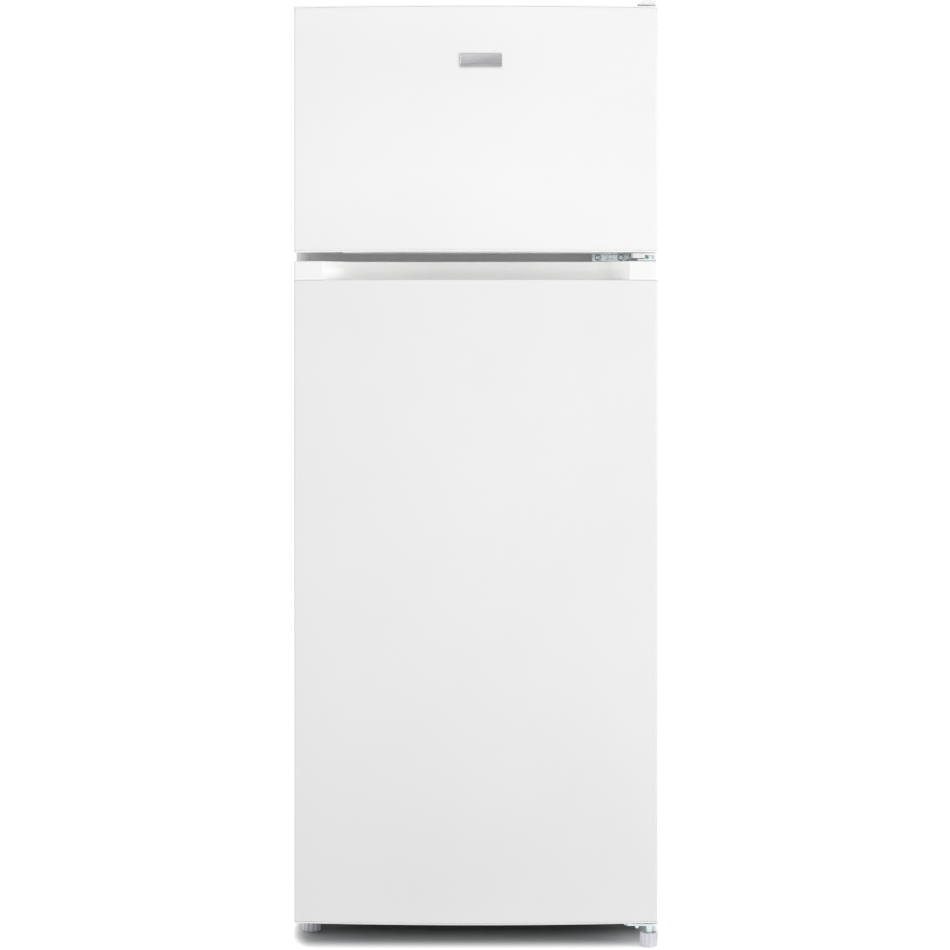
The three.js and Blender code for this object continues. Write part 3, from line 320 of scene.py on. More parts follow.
def piece(name, shape, body, surface, stands_for=(), crease=34):
    """A shape as a Blender object that rides on a CAD body."""
    mesh = bpy.data.meshes.new(name)
    mesh.from_pydata([[c * MM for c in v] for v in shape.vertices], [], shape.faces)
    mesh.validate()
    made = bpy.data.objects.new(name, mesh)
    bpy.context.scene.collection.objects.link(made)
    mesh.materials.append(surface)
    outwards(mesh)
    shade(mesh, crease)
    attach(made, body)
    if stands_for:
        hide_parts(*stands_for)
    return made


def outwards(mesh):
    """Turns every face's normal to the outside."""
    work = bmesh.new()
    work.from_mesh(mesh)
    bmesh.ops.recalc_face_normals(work, faces=work.faces)
    work.to_mesh(mesh)
    work.free()


# ---- door geometry
SKIN_LOW, SKIN_HIGH = span("fridge_door_skin")
HALF = SKIN_HIGH.x
CREST = SKIN_LOW.y
DOOR_BACK = span("fridge_door_liner")[0].y + 2
FLANGE = span("cabinet_wrap")[0].y
BOW = 17.5  # how far the middle of a door stands out
BOW_RADIUS = (HALF**2 + BOW**2) / (2 * BOW)
BOW_STEPS = 72
CORNER = 4.0  # radius of a door's upright corners
EDGE = CREST + BOW  # y of the bow at the sides


def bow(x, back=0.0):
    """y of the bowed front, `back` millimetres behind the surface."""
    return CREST + back + BOW_RADIUS - math.sqrt(BOW_RADIUS**2 - x * x)


def door_front(x, back=0.0):
    """y of a door's front, rounded off at its upright corners."""
    reach = HALF - CORNER
    if abs(x) <= reach:
        return bow(x, back)
    lean = min(1.0, (abs(x) - reach) / CORNER)
    return bow(reach, back) + CORNER * (1 - math.sqrt(1 - lean * lean))


def door_path(back):
    """Line from the right rear edge of a door's skin round its front to the left rear edge."""
    radius = max(CORNER - back, 0.4)
    reach = HALF - back - radius
    front_y = bow(reach, back)
    right = [(reach + radius, SKIN_HIGH.y)]
    right += [
        (reach + radius * math.sin(a), front_y + radius * (1 - math.cos(a)))
        for a in (math.radians(90 - 15 * k) for k in range(6))
    ]
    across = [reach * (1 - 2 * i / BOW_STEPS) for i in range(BOW_STEPS + 1)]
    return right + [(x, bow(x, back)) for x in across] + [(-x, y) for x, y in reversed(right)]


def around_door(profile):
    """Rings that carry a profile of (distance behind the surface, z) along a door's skin."""
    lines = [[(x, y, z) for x, y in door_path(back)] for back, z in profile]
    return [list(ring) for ring in zip(*lines)]


def skin_shape(z0, z1):
    """The steel skin: bowed front and two sides, with a rolled edge at the top and bottom."""
    profile = [
        (0, z0 + 0.5), (0, z1 - 0.5), (0.15, z1 - 0.15), (0.5, z1),
        (1.0, z1 - 0.3), (1.0, z0 + 0.3), (0.5, z0), (0.15, z0 + 0.15),
    ]
    return Shape().loft(around_door(profile))


def ring_of(half, z0, z1, radius, y):
    """A rounded rectangle that faces the doors, even about x = 0."""
    return placed(rounded_rectangle(-half, half, z0, z1, radius), "y", y)


def door_liner_shape(low, high, ridge, lugs):
    """A vacuum-formed inner door: a flat rim for the gasket, a raised ridge (half width, bottom,
    top), a sunken field, and lugs for the bins at the given heights."""
    half, z0, z1 = ridge
    back = DOOR_BACK
    rings = [
        ring_of(HALF - rim, low + rim, high - rim, 2, back - depth)
        for rim, depth in ((0.1, 2.1), (0.1, 0.6), (0.7, 0))
    ]
    section = [
        (-2.5, 0, 9), (-1.0, 0.6, 8), (-0.1, 3, 6), (0.4, 40, 4.5), (0.8, 43, 4), (2.2, 44.7, 4.5),
        (4.4, 45, 5), (11.6, 45, 7), (13.8, 44.7, 7), (15.1, 43, 7.5), (15.5, 40, 8), (16, 4, 10),
        (17.4, 1, 11), (20, 0, 12), (40, 0, 16), (41.5, 0.6, 16), (43.5, 1.2, 16), (60, 1.2, 16),
    ]
    rings += [
        ring_of(half - inward, z0 + inward, z1 - inward, radius, back + rise)
        for inward, rise, radius in section
    ]
    shape = Shape().loft(rings)
    inner = half - 16  # where the ridge's inner wall stands
    for z in lugs:
        for side in (-1, 1):
            x0, x1 = sorted((side * (inner - 5), side * (inner + 2)))
            shape.bar(x0, x1, back + 12, back + 38, z, z + 10, 1.6)
    return shape


def gasket_shape(node):
    """A magnetic door seal: a flat foot, a bellows with two folds, and a flat magnet chamber."""
    low, high = span(node)
    section = [
        (0, 0), (0, 2.4), (0.7, 3.2), (2.4, 3.6), (3.1, 4.1), (2.0, 4.9), (1.9, 5.4), (3.1, 6.2),
        (2.2, 7.0), (1.1, 7.6), (0.9, 8.4), (0.9, 10.4), (1.8, 11.2), (7.0, 11.35), (12.2, 11.2),
        (13.1, 10.4), (13.1, 8.4), (12.9, 7.6), (11.8, 7.0), (10.9, 6.2), (12.1, 5.4), (12.0, 4.9),
        (10.9, 4.1), (11.6, 3.6), (13.3, 3.2), (14, 2.4), (14, 0),
    ]
    half = high.x
    rings = [
        ring_of(half - inward, low.z + inward, high.z - inward, max(9 - inward, 1.5), low.y + rise)
        for inward, rise in section
    ]
    return Shape().loft(rings, looped=True)


# ---- door pieces
CAP_LOW, CAP_HIGH = span("fridge_door_top_cap")
SKIN_TOP = SKIN_HIGH.z
RECESS_HALF = 230
RAMP = 48  # length of each end ramp and its fillet
STRAIGHT = 0.6  # share of the ramp that is flat before it curves into the back wall
RECESS_BACK = EDGE + 12
LIP = 4.0  # steel and plastic in front of the finger pocket
POCKET_FLOOR = 993


def recess_share(x):
    """How deep the finger recess is at x: 0 at its ends, 1 along its back wall."""
    t = (RECESS_HALF - abs(x)) / RAMP
    slope = 1 / (STRAIGHT + (1 - STRAIGHT) / 2)
    if t <= 0:
        return 0.0
    if t >= 1:
        return 1.0
    if t < STRAIGHT:
        return slope * t
    return 1 - slope / (2 * (1 - STRAIGHT)) * (1 - t) ** 2


def recess_wall(x, z):
    """y of the finger recess's wall, hollowed a little between its top and bottom."""
    share = recess_share(x)
    end = bow(RECESS_HALF)
    height = (z - SKIN_TOP) / (CAP_HIGH.z - SKIN_TOP)
    hollow = 3.2 * share * math.sin(math.pi * min(max(height, 0), 1)) ** 1.2
    return end + (RECESS_BACK - end) * share + hollow


def handle_section(x):
    """The top cap's outline in a plane across x, as (y, z) points from the rear bottom corner."""
    top, rear = CAP_HIGH.z, CAP_HIGH.y
    inside = abs(x) < RECESS_HALF
    face = (lambda z: recess_wall(x, z)) if inside else (lambda z: door_front(x))
    front, shell = door_front(x), door_front(x, 1.15)
    heights = [SKIN_TOP + 1.6 + (top - 2.4 - SKIN_TOP - 1.6) * k / 10 for k in range(10, -1, -1)]
    points = [(rear, CAP_LOW.z), (rear, top - 1.2), (rear - 0.4, top - 0.4), (rear - 1.2, top)]
    points += [(face(top) + 2.4, top), (face(top) + 1.2, top - 0.3), (face(top) + 0.35, top - 1.1)]
    points += [(face(z), z) for z in heights]
    wall = face(SKIN_TOP + 1.6)
    depth = wall - front if inside else 0.0
    ledge = SKIN_TOP + 0.5
    shut = [
        (wall + 0.1, ledge + 0.5), (wall + 0.4, ledge + 0.1), (wall + 0.7, ledge),
        (shell + 0.9, ledge - 0.05), (shell + 0.6, ledge - 0.1), (shell + 0.4, ledge - 0.2),
        (shell + 0.2, ledge - 0.4), (shell, ledge - 1.0),
    ]
    if depth > 0.8:
        shut[1:4] = [(wall - 0.1, ledge + 0.1), (wall - 0.4, ledge), (shell + 0.4, ledge - 0.02)]
    lip, low = front + LIP, POCKET_FLOOR
    opened = [
        (wall, low + 8), (wall - 0.6, low + 2), (wall - 2.2, low), (lip + 2, low), (lip + 0.4, low + 1.5),
        (lip, low + 10), (lip - 0.6, low + 13.4), (shell, low + 13.7),
    ]
    share = min(max((depth - 6.5) / 3.0, 0.0), 1.0)  # the pocket opens where the recess is this deep
    points += [(a + (c - a) * share, b + (d - b) * share) for (a, b), (c, d) in zip(shut, opened)]
    return points + [(shell, low + 7), (shell, CAP_LOW.z)]


def tucked(x, y, z):
    """Keeps what is below the cap's lip inside the steel skin."""
    limit = HALF - 1.2 if z < SKIN_TOP + 0.45 else HALF
    return (min(max(x, -limit), limit), y, z)


def handle_cap_shape():
    """The moulded cap along the top of the lower door, with the finger recess."""
    reach = HALF - CORNER
    corner = [reach + CORNER * math.sin(math.radians(a)) for a in (90, 75, 60, 45, 30, 15)]
    block = [reach, 262, 252, 242, 234, RECESS_HALF + 0.05]
    ramp = [RECESS_HALF - 0.05 - (RAMP + 4) * k / 44 for k in range(45)]
    floor = [ramp[-1] * (1 - k / 16) for k in range(1, 17)]
    right = corner + block + ramp + floor
    stations = right + [-x for x in reversed(right[:-1])]
    shape = Shape().loft([placed(handle_section(x), "x", x) for x in stations])
    return shape.bent(tucked)


for door in ("fridge_door", "freezer_door"):
    low, high = span(door + "_skin")
    piece(door + "_panel", skin_shape(low.z, high.z), door, PAINT, [door + "_skin"])
handle = handle_cap_shape()
piece("fridge_handle_cap", handle, "fridge_door", CAP, ["fridge_door_top_cap"], crease=28)


def lip_shape(inner, outer):
    """The moulded lip of an end cap, from the skin's edge to its rounded free edge."""
    way = 1 if inner > outer else -1
    profile = [
        (-0.05, inner), (-0.05, outer + 0.95 * way), (0.05, outer + 0.55 * way), (0.3, outer + 0.25 * way),
        (0.6, outer + 0.05 * way), (1.05, outer - 0.05 * way), (3.0, outer - 0.05 * way), (3.0, inner),
    ]
    return Shape().loft(around_door(profile[::way]))


CAP_LIP = 2.5  # how far an end cap stands out of the skin
for name, door, node, rim in (
    ("freezer_top_lip", "freezer_door", "freezer_door_top_cap", 1),
    ("freezer_bottom_lip", "freezer_door", "freezer_door_bottom_cap", 0),
    ("fridge_bottom_lip", "fridge_door", "fridge_door_bottom_cap", 0),
):
    edge = span(node)[rim].z
    skin_edge = edge - CAP_LIP if rim else edge + CAP_LIP
    piece(name, lip_shape(skin_edge, edge), door, CAP, crease=50)

BIN_LUGS = {"door_bin_upper": 812, "door_bin_middle": 520, "door_bin_bottle": 150, "freezer_door_bin": 1142}
FRIDGE_LUGS = [z for node, z in BIN_LUGS.items() if node.startswith("door")]
for door, ridge, lugs in (
    ("fridge_door", (216, 114, 983), FRIDGE_LUGS[::-1]),
    ("freezer_door", (208, 1090, 1360), [BIN_LUGS["freezer_door_bin"]]),
):
    low, high = span(door + "_liner")
    inner_panel = door_liner_shape(low.z, high.z, ridge, lugs)
    piece(door + "_inner_panel", inner_panel, door, LINER, [door + "_liner"])
    piece(door + "_seal", gasket_shape(door + "_gasket"), door, VINYL, [door + "_gasket"])


def badge_shape():
    """A blank plate with a raised rim, lying on the bowed door."""
    low, high = span("freezer_door_badge")
    shape = Shape()
    loop = rounded_rectangle(low.x, high.x, low.z, high.z, 1.8)
    steps = [(0, 0.3), (0, 1.3), (0.15, 1.65), (0.5, 1.8), (0.9, 1.7), (1.2, 1.35), (1.5, 1.25)]
    shape.loft([placed(inset(loop, back), "y", -rise) for back, rise in steps])
    return shape.bent(lambda x, y, z: (x, y + bow(x), z))


piece("badge_plate", badge_shape(), "freezer_door", BRUSHED, ["freezer_door_badge"], crease=50)


# ---- cabinet shell
WRAP_LOW, WRAP_HIGH = span("cabinet_wrap")
ROOF_RADIUS = 7.0


def wrap_path(back):
    """Up one side, over the roof and down the other, in the XZ plane."""
    x, z = WRAP_HIGH.x - back, WRAP_HIGH.z - back
    radius = max(ROOF_RADIUS - back, 0.3)
    right = [(x, WRAP_LOW.z)] + arc(x - radius, z - radius, radius, 0, 90, 8)
    return right + [(-u, v) for u, v in reversed(right)]


def wrap_shape():
    """The folded sheet: sides, roof, and the flange turned in along its front."""
    front, rear = WRAP_LOW.y, WRAP_HIGH.y
    profile = [
        (0, rear - 0.4), (0, front + 1), (0.3, front + 0.3), (1, front), (20.5, front), (21, front + 0.3),
        (20.9, front + 0.8), (1, front + 1), (1, rear - 0.4), (0.5, rear),
    ]
    lines = [placed(wrap_path(back), "y", y) for back, y in profile]
    return Shape().loft([list(ring) for ring in zip(*lines)])


piece("cabinet_shell", wrap_shape(), "cabinet", PAINT, ["cabinet_wrap"])


def rear_panel_shape():
    """The back sheet, with a stiffening step all round and two upright beads."""
    low, high = span("rear_panel")
    y = high.y

    def at(back, depth, radius):
        loop = rounded_rectangle(low.x + back, high.x - back, low.z + back, high.z - back, radius)
        return placed(loop, "y", y - depth)

    steps = [(0.2, 0.9, 3), (0.2, 0.1, 3), (22, 0, 8), (23.5, 0.25, 9), (26, 0.8, 10), (60, 0.8, 14)]
    shape = Shape().loft([at(*step) for step in steps])
    for x in (-130, 130):
        bead = rounded_rectangle(x - 7, x + 7, low.z + 90, high.z - 90, 6.9)
        shape.plate(bead, "y", y - 1.0, y - 0.1, 0.7)
    return shape


piece("rear_sheet", rear_panel_shape(), "cabinet", GALVANISED, ["rear_panel"])


def screw_head(shape, x, y, z, radius):
    """A domed head facing +Y."""
    profile = [(radius, 0), (radius, 0.5), (radius * 0.85, 1.1), (radius * 0.5, 1.5), (0.01, 1.6)]
    return shape.turned(profile, (x, y, z), axis="y", sides=20)


rear_low, rear_high = span("rear_panel")
rear_screws = Shape()
for z in (rear_low.z + 11, 520, 815, 1110, rear_high.z - 11):
    for side in (-1, 1):
        screw_head(rear_screws, side * 261, rear_high.y - 1.4, z, 3.2)
piece("rear_screws", rear_screws, "cabinet", ZINC)


# ---- compartments
FRIDGE_HALF = 230  # half widths of the two compartments and of the rims around them
FREEZER_HALF = 222
RIM_HALF = 262
LINER_WALL = 1.6
FRIDGE_FLOOR = 100
HUMP_HEIGHT = 185
HUMP_START = 63.5  # 1.5 mm before the foam's own step, to cover it
HUMP_RUN = 50


def smoothed(value, at, reach):
    """The mean of a function around a point, which rounds off its corners."""
    offsets = [reach * k / 4 for k in range(-4, 5)]
    return sum(value(at + d) for d in offsets) / len(offsets)


def compartment_shape(half, floor, ceiling, rear, rim_low, rim_high):
    """A vacuum-formed compartment: front rim, rounded mouth, walls, and a rounded back.
    `floor` is a function of y."""
    front = FLANGE + 1.3
    corner = 16

    def at(back, y, radius=corner):
        return ring_of(half - back, floor(y) + back, ceiling - back, radius, y)

    rings = [
        ring_of(RIM_HALF, rim_low, rim_high, 5, front + 0.1),
        at(-6, front, 12),
        at(-3, front + 0.5, 13),
        at(-1, front + 2, 15),
        at(0, front + 5),
    ]
    walls = [-60, 0, 40] + [48 + 3 * k for k in range(29)] + [150, 190]
    rings += [at(0, y) for y in walls if y < rear - 20]
    turns = [math.radians(18 * k) for k in range(6)]
    rings += [at(corner * (1 - math.cos(a)), rear - corner + corner * math.sin(a)) for a in turns]
    shape = Shape().loft(rings, caps=False)
    size = len(rings[0])
    shape.faces.append(tuple((len(rings) - 1) * size + k for k in range(size)))
    return shape


def hump(y):
    """The fridge's floor, which steps up over the compressor."""
    return FRIDGE_FLOOR + HUMP_HEIGHT * min(max((y - HUMP_START) / HUMP_RUN, 0), 1)


def ledges(shape, half, tops, y0, y1):
    """Rounded ledges along both walls."""
    for top in tops:
        for side in (-1, 1):
            wall, tip = side * (half + 1.5), side * (half - 6)
            loop = [(wall, top), (tip, top), (tip, top - 4), (wall, top - 8.5)]
            shape.plate(filleted(loop if side < 0 else loop[::-1], 1.6), "y", y0, y1, 1.5)
    return shape


def skinned(made):
    """Gives a compartment's open surface its wall, outwards."""
    wall = made.modifiers.new("wall", "SOLIDIFY")
    wall.thickness = LINER_WALL * MM
    wall.offset = 1


fridge_box = compartment_shape(FRIDGE_HALF, lambda y: smoothed(hump, y, 4), 1006, 232, 84, 1018)
skinned(piece("fridge_compartment", fridge_box, "cabinet", LINER, ["fridge_liner"]))
freezer_box = compartment_shape(FREEZER_HALF, lambda y: 1078, 1372, 222, 1066, 1406)
skinned(piece("freezer_compartment", freezer_box, "cabinet", LINER, ["freezer_liner"]))

fridge_ledges = ledges(Shape(), FRIDGE_HALF, (401, 516, 631, 746, 861), -94, 224)
ledges(fridge_ledges, FRIDGE_HALF, (286,), -94, 108)
piece("fridge_ledges", fridge_ledges, "cabinet", LINER)
freezer_ledges = ledges(Shape(), FREEZER_HALF, (1150, 1213, 1276), -90, 214)
piece("freezer_ledges", freezer_ledges, "cabinet", LINER)

drain_low, drain_high = span("drain_tube")
drain_x, drain_y = (drain_low.x + drain_high.x) / 2, (drain_low.y + drain_high.y) / 2
drain_profile = [(6.0, 284.6), (6.0, 285.8), (6.6, 286.4), (9.0, 286.4), (10.4, 285.6), (10.6, 284.6)]
drain_rings = [
    placed([(drain_x + u * 0.9, drain_y - 2 + v * 0.9) for u, v in arc(0, 0, r, 0, 348.75, 31)], "z", z)
    for r, z in drain_profile
]
piece("drain_collar", Shape().loft(drain_rings, looped=True), "cabinet", TRIM)


# ---- shelves
def glass_shelf(node, name):
    """A pane with a moulded trim along its front and a low fence along its back."""
    low, high = span(node)
    pane_low = low.z + 5.3
    pane_loop = rounded_rectangle(low.x, high.x, low.y + 8, high.y - 1, 4)
    pane = Shape().plate(pane_loop, "z", pane_low, pane_low + 4, 1.0)
    piece(name + "_pane", pane, "cabinet", GLASS, [node])
    front = Shape()
    section = [
        (0, -3.4), (3, -5), (10, -4.6), (14, -0.4), (14, -0.1), (9, -0.1), (9, 4.2), (14, 4.2), (13.4, 5.6),
        (8, 6.6), (2.4, 6), (0, 3),
    ]
    profile = [(low.y + y, pane_low + z) for y, z in section]
    front.plate(filleted(profile, 1.0, 3), "x", low.x + 7, high.x - 7, 0.8)
    back = Shape()
    rear, top = high.y, high.z
    fence = [
        (rear - 6, pane_low + 4.1), (rear, pane_low + 4.1), (rear, top - 1.5), (rear - 1.5, top),
        (rear - 3, top - 1.5), (rear - 4, pane_low + 7),
    ]
    back.plate(filleted(fence, 1.0, 3), "x", low.x + 1, high.x - 1, 0.8)
    piece(name + "_trim", front, "cabinet", TRIM)
    piece(name + "_fence", back, "cabinet", TRIM)


glass_shelf("glass_shelf_upper", "upper_shelf")
glass_shelf("glass_shelf_middle", "middle_shelf")
glass_shelf("crisper_cover_shelf", "crisper_cover")


def wire_shelf_shape():
    """A rim of thick wire with thinner wires welded across it, and two bars beneath."""
    low, high = span("freezer_shelf")
    rim, wire = 2.4, 1.5
    z = low.z + rim
    loop = rounded_rectangle(low.x + rim, high.x - rim, low.y + rim, high.y - rim, 10)
    around = [2 * math.pi * k / 10 for k in range(10)]
    rings = [placed(inset(loop, rim * math.cos(a)), "z", z + rim * math.sin(a)) for a in around]
    shape = Shape().loft(rings, looped=True)
    gaps = 21
    for i in range(1, gaps):
        x = low.x + (high.x - low.x) * i / gaps
        shape.tube([(x, y, z + 0.9) for y in (low.y + 2, (low.y + high.y) / 2, high.y - 2)], wire)
    for y in (low.y + 100, low.y + 198):
        shape.tube([(low.x + 3, y, z - 0.9), (0, y, z - 0.9), (high.x - 3, y, z - 0.9)], 1.4)
    return shape


piece("wire_shelf", wire_shelf_shape(), "cabinet", WIRE, ["freezer_shelf"], crease=60)


# ---- bins and crisper
def bin_shape(node, lug):
    """An open clear bin with round front corners, a thick rim, and ears that hang on the door's
    lugs, which stand `lug` high."""
    low, high = span(node)
    half = high.x - 8
    shape = Shape()

    def at(back, z):
        radii = [2.5, max(26 - back, 3), max(26 - back, 3), 2.5]
        loop = rounded_rectangle(-half + back, half - back, low.y + back, high.y - back, radii, 8)
        return placed(loop, "z", z)

    wall = 2.0
    base, rim, middle = low.z, high.z, (low.z + high.z) / 2
    rings = [
        at(7, base + 0.8), at(6, base), at(4.2, base), at(2.6, base + 0.6), at(1.7, base + 2.2),
        at(0.9, middle), at(0.6, rim - 8), at(0, rim - 7), at(0, rim - 0.8), at(0.4, rim),
        at(wall + 0.4, rim), at(wall + 0.8, rim - 1.2), at(wall + 0.9, rim - 8), at(wall + 1.6, middle),
        at(wall + 2.6, base + 5), at(wall + 4.4, base + 2.8), at(wall + 7, base + 2.4),
    ]
    shape.loft(rings)
    for side in (-1, 1):
        x0, x1 = sorted((side * (half - 1.4), side * (half + 8)))
        shape.bar(x0, x1, DOOR_BACK + 13, DOOR_BACK + 37, lug + 10.3, lug + 16, 1.2)
    return shape


for (node, lug), body in zip(BIN_LUGS.items(), ("upper_bin", "middle_bin", "bottle_bin", "freezer_bin")):
    name = node.replace("_bin", "_tray")
    piece(name, bin_shape(node, lug), body, CLEAR, [node], crease=40)


def crisper_shape():
    """A deep clear drawer whose back leans to clear the compressor's hump, with a front grip."""
    low, high = span("crisper_drawer")
    front = low.y + 12
    half = high.x

    def at(back, z):
        rear = 56 + 39 * (z - low.z) / (high.z - low.z)
        round_off = max(14 - back * 0.5, 4)
        loop = rounded_rectangle(-half + back, half - back, front + back, rear - back, round_off)
        return placed(loop, "z", z)

    wall = 2.2
    base, rim = low.z, high.z
    rings = [
        at(9, base + 1.5), at(7, base), at(4, base), at(2, base + 1), at(1.2, base + 4), at(0.6, base + 90),
        at(1.6, base + 92), at(1.6, rim - 9), at(0, rim - 7), at(0, rim - 0.8), at(0.5, rim),
        at(wall + 0.5, rim), at(wall + 0.9, rim - 1.5), at(wall + 1.8, rim - 9), at(wall + 1.8, base + 92),
        at(wall + 1, base + 88), at(wall + 2, base + 7), at(wall + 4, base + 3.4), at(wall + 9, base + 2.6),
    ]
    shape = Shape().loft(rings)
    grip = [
        (front + 1, 250), (low.y + 1, 250), (low.y, 249), (low.y, 232), (low.y + 2.2, 232),
        (low.y + 2.8, 246), (front + 1, 246),
    ]
    shape.plate(filleted(grip, 1.2, 3), "x", -90, 90, 1.0)
    return shape


piece("crisper_box", crisper_shape(), "crisper", CLEAR, ["crisper_drawer"], crease=40)


def egg_tray_shape():
    """A moulded tray whose top dips into six round cups."""
    low, high = span("egg_tray")
    cups = [(low.x + 25 + 50 * i, low.y + 23.5 + 45 * j) for i in range(3) for j in range(2)]
    cup_radius, cup_depth = 22.5, 17
    across, along = 75, 46  # points of the grid

    def top(x, y):
        edge = min(x - low.x, high.x - x, y - low.y, high.y - y)
        height = high.z - 1.2 * max(0, 1 - edge / 2.5) ** 2
        for cx, cy in cups:
            t = min(math.hypot(x - cx, y - cy) / cup_radius, 1)
            height -= cup_depth * (1 - t * t) ** 0.55
            height += 0.7 * math.exp(-(((t - 1) / 0.08) ** 2)) if t < 1 else 0
        return height

    rings = []
    for j in range(along + 1):
        y = low.y + (high.y - low.y) * j / along
        line = [low.x + (high.x - low.x) * i / across for i in range(across + 1)]
        rings.append([(high.x - 1, y, low.z), (low.x + 1, y, low.z)] + [(x, y, top(x, y)) for x in line])
    return Shape().loft(rings)


piece("egg_rack", egg_tray_shape(), "eggs", TRIM, ["egg_tray"], crease=40)


def pan_shape():
    """The shallow pan on the compressor where defrost water dries up."""
    low, high = span("evaporating_pan")

    def at(back, z):
        radius = max(13 - back, 3)
        loop = rounded_rectangle(low.x + back, high.x - back, low.y + back, high.y - back, radius)
        return placed(loop, "z", z)

    base, rim = low.z, high.z
    rings = [
        at(8, base + 0.6), at(6, base), at(4, base + 0.4), at(2.6, base + 3), at(1.4, rim - 3),
        at(0, rim - 2.2), at(0, rim - 0.6), at(0.5, rim), at(3, rim), at(3.6, rim - 1),
        at(4.6, base + 5), at(6.4, base + 2.6), at(9, base + 2),
    ]
    return Shape().loft(rings)


piece("defrost_pan", pan_shape(), "cabinet", TRIM, ["evaporating_pan"])


# ---- control box details
BOX_LOW, BOX_HIGH = span("control_box")
KNOB_LOW, KNOB_HIGH = span("thermostat_knob")
knob_x, knob_z = (KNOB_LOW.x + KNOB_HIGH.x) / 2, (KNOB_LOW.z + KNOB_HIGH.z) / 2
ticks = Shape()
for k in range(8):
    turn = math.radians(230 - 40 * k)
    near, far = 16.4, 18.2 + 0.25 * k
    if knob_z + far * math.sin(turn) > BOX_HIGH.z - 1.5:
        far = 17.6
    ends = [(knob_x + r * math.cos(turn), knob_z + r * math.sin(turn)) for r in (near, far)]
    ticks.tube(placed(ends, "y", BOX_LOW.y - 0.15), 0.45, 8)
piece("thermostat_ticks", ticks, "cabinet", DARK_MARK, crease=60)


def knob_shape():
    """A fluted dial with a grip bar across its face, on a round spindle."""
    face, rear = KNOB_LOW.y + 4.4, KNOB_LOW.y + 10.2
    loop = []
    for k in range(144):
        turn = 2 * math.pi * k / 144
        reach = 15 - 0.5 * (0.5 - 0.5 * math.cos(24 * turn))
        loop.append((knob_x + reach * math.cos(turn), knob_z + reach * math.sin(turn)))
    shape = Shape().plate(loop, "y", face, rear, 0.9)
    grip = rounded_rectangle(knob_x - 3, knob_x + 3, knob_z - 13, knob_z + 13, 2.4)
    shape.plate(grip, "y", KNOB_LOW.y, face + 0.5, 1.1)
    spindle = [(4, rear - 1), (4, KNOB_HIGH.y - 0.6), (3.4, KNOB_HIGH.y)]
    return shape.turned(spindle, (knob_x, 0, knob_z), "y")


piece("thermostat_dial", knob_shape(), "knob", KNOB_GREY, ["thermostat_knob"])
pointer = Shape()
pointer.bar(knob_x - 0.7, knob_x + 0.7, KNOB_LOW.y - 0.25, KNOB_LOW.y + 1, knob_z + 4, knob_z + 12, 0.25)
piece("thermostat_pointer", pointer, "knob", DARK_MARK)

lens_low, lens_high = span("lamp_lens")
ribs = Shape()
for k in range(12):
    y = lens_low.y + 6 + (lens_high.y - lens_low.y - 12) * k / 11
    ribs.tube([(lens_low.x + 5, y, lens_low.z), (lens_high.x - 5, y, lens_low.z)], 0.9, 10)
piece("lamp_lens_ribs", ribs, "cabinet", CLEAR, crease=60)

vents = Shape()
for side in (-1, 1):
    for k in range(6):
        x = side * (52 + 6 * k)
        vents.bar(x - 1.1, x + 1.1, -40, -8, BOX_LOW.z - 0.5, BOX_LOW.z + 1, 0.4)
piece("control_box_ribs", vents, "cabinet", TRIM)


# ---- hinges
cover_low, cover_high = span("top_hinge_cover")
cover_outline = [
    (cover_high.x, cover_low.z), (cover_high.x, cover_high.z - 2), (cover_high.x - 3, cover_high.z),
    (cover_low.x + 15, cover_high.z), (cover_low.x, cover_low.z + 1.6), (cover_low.x, cover_low.z),
]
cover = Shape().plate(filleted(cover_outline, 1.6), "y", cover_low.y, cover_high.y, 2.0, 4)
piece("top_hinge_cap", cover, "cabinet", CAP, ["top_hinge_cover"], crease=40)

bush_low, bush_high = span("freezer_door_hinge_bush")
pin_low = span("middle_hinge_pin")[0]
shoulder = bush_low.z + 4.6  # above it the bush reaches over the pin, below it stops short of the pin
flange_outline = [
    (bush_low.x, EDGE + 9), (bush_low.x + 3, EDGE + 6), (bush_high.x - 3.6, EDGE + 6),
    (bush_high.x, EDGE + 10), (bush_high.x, EDGE + 34), (bush_high.x - 6, EDGE + 38), (252, EDGE + 38),
    (240, EDGE + 24), (bush_low.x, EDGE + 24),
]
stop_outline = [
    (bush_low.x, EDGE + 9), (bush_low.x + 3, EDGE + 6), (pin_low.x - 4, EDGE + 6),
    (pin_low.x - 3, EDGE + 22), (240, EDGE + 24), (bush_low.x, EDGE + 24),
]
bush = Shape().plate(filleted(flange_outline, 2.2), "z", shoulder - 0.2, bush_high.z, 0.8)
bush.plate(filleted(stop_outline, 1.6), "z", bush_low.z, shoulder + 0.2, 0.6)
piece("hinge_bush", bush, "freezer_door", CAP, ["freezer_door_hinge_bush"], crease=40)


# ---- compressor details
COMP_LOW, COMP_HIGH = span("compressor")
comp_x, comp_y = (COMP_LOW.x + COMP_HIGH.x) / 2 - 1, 203.0  # the can's axis
CAN_BOTTOM = 54


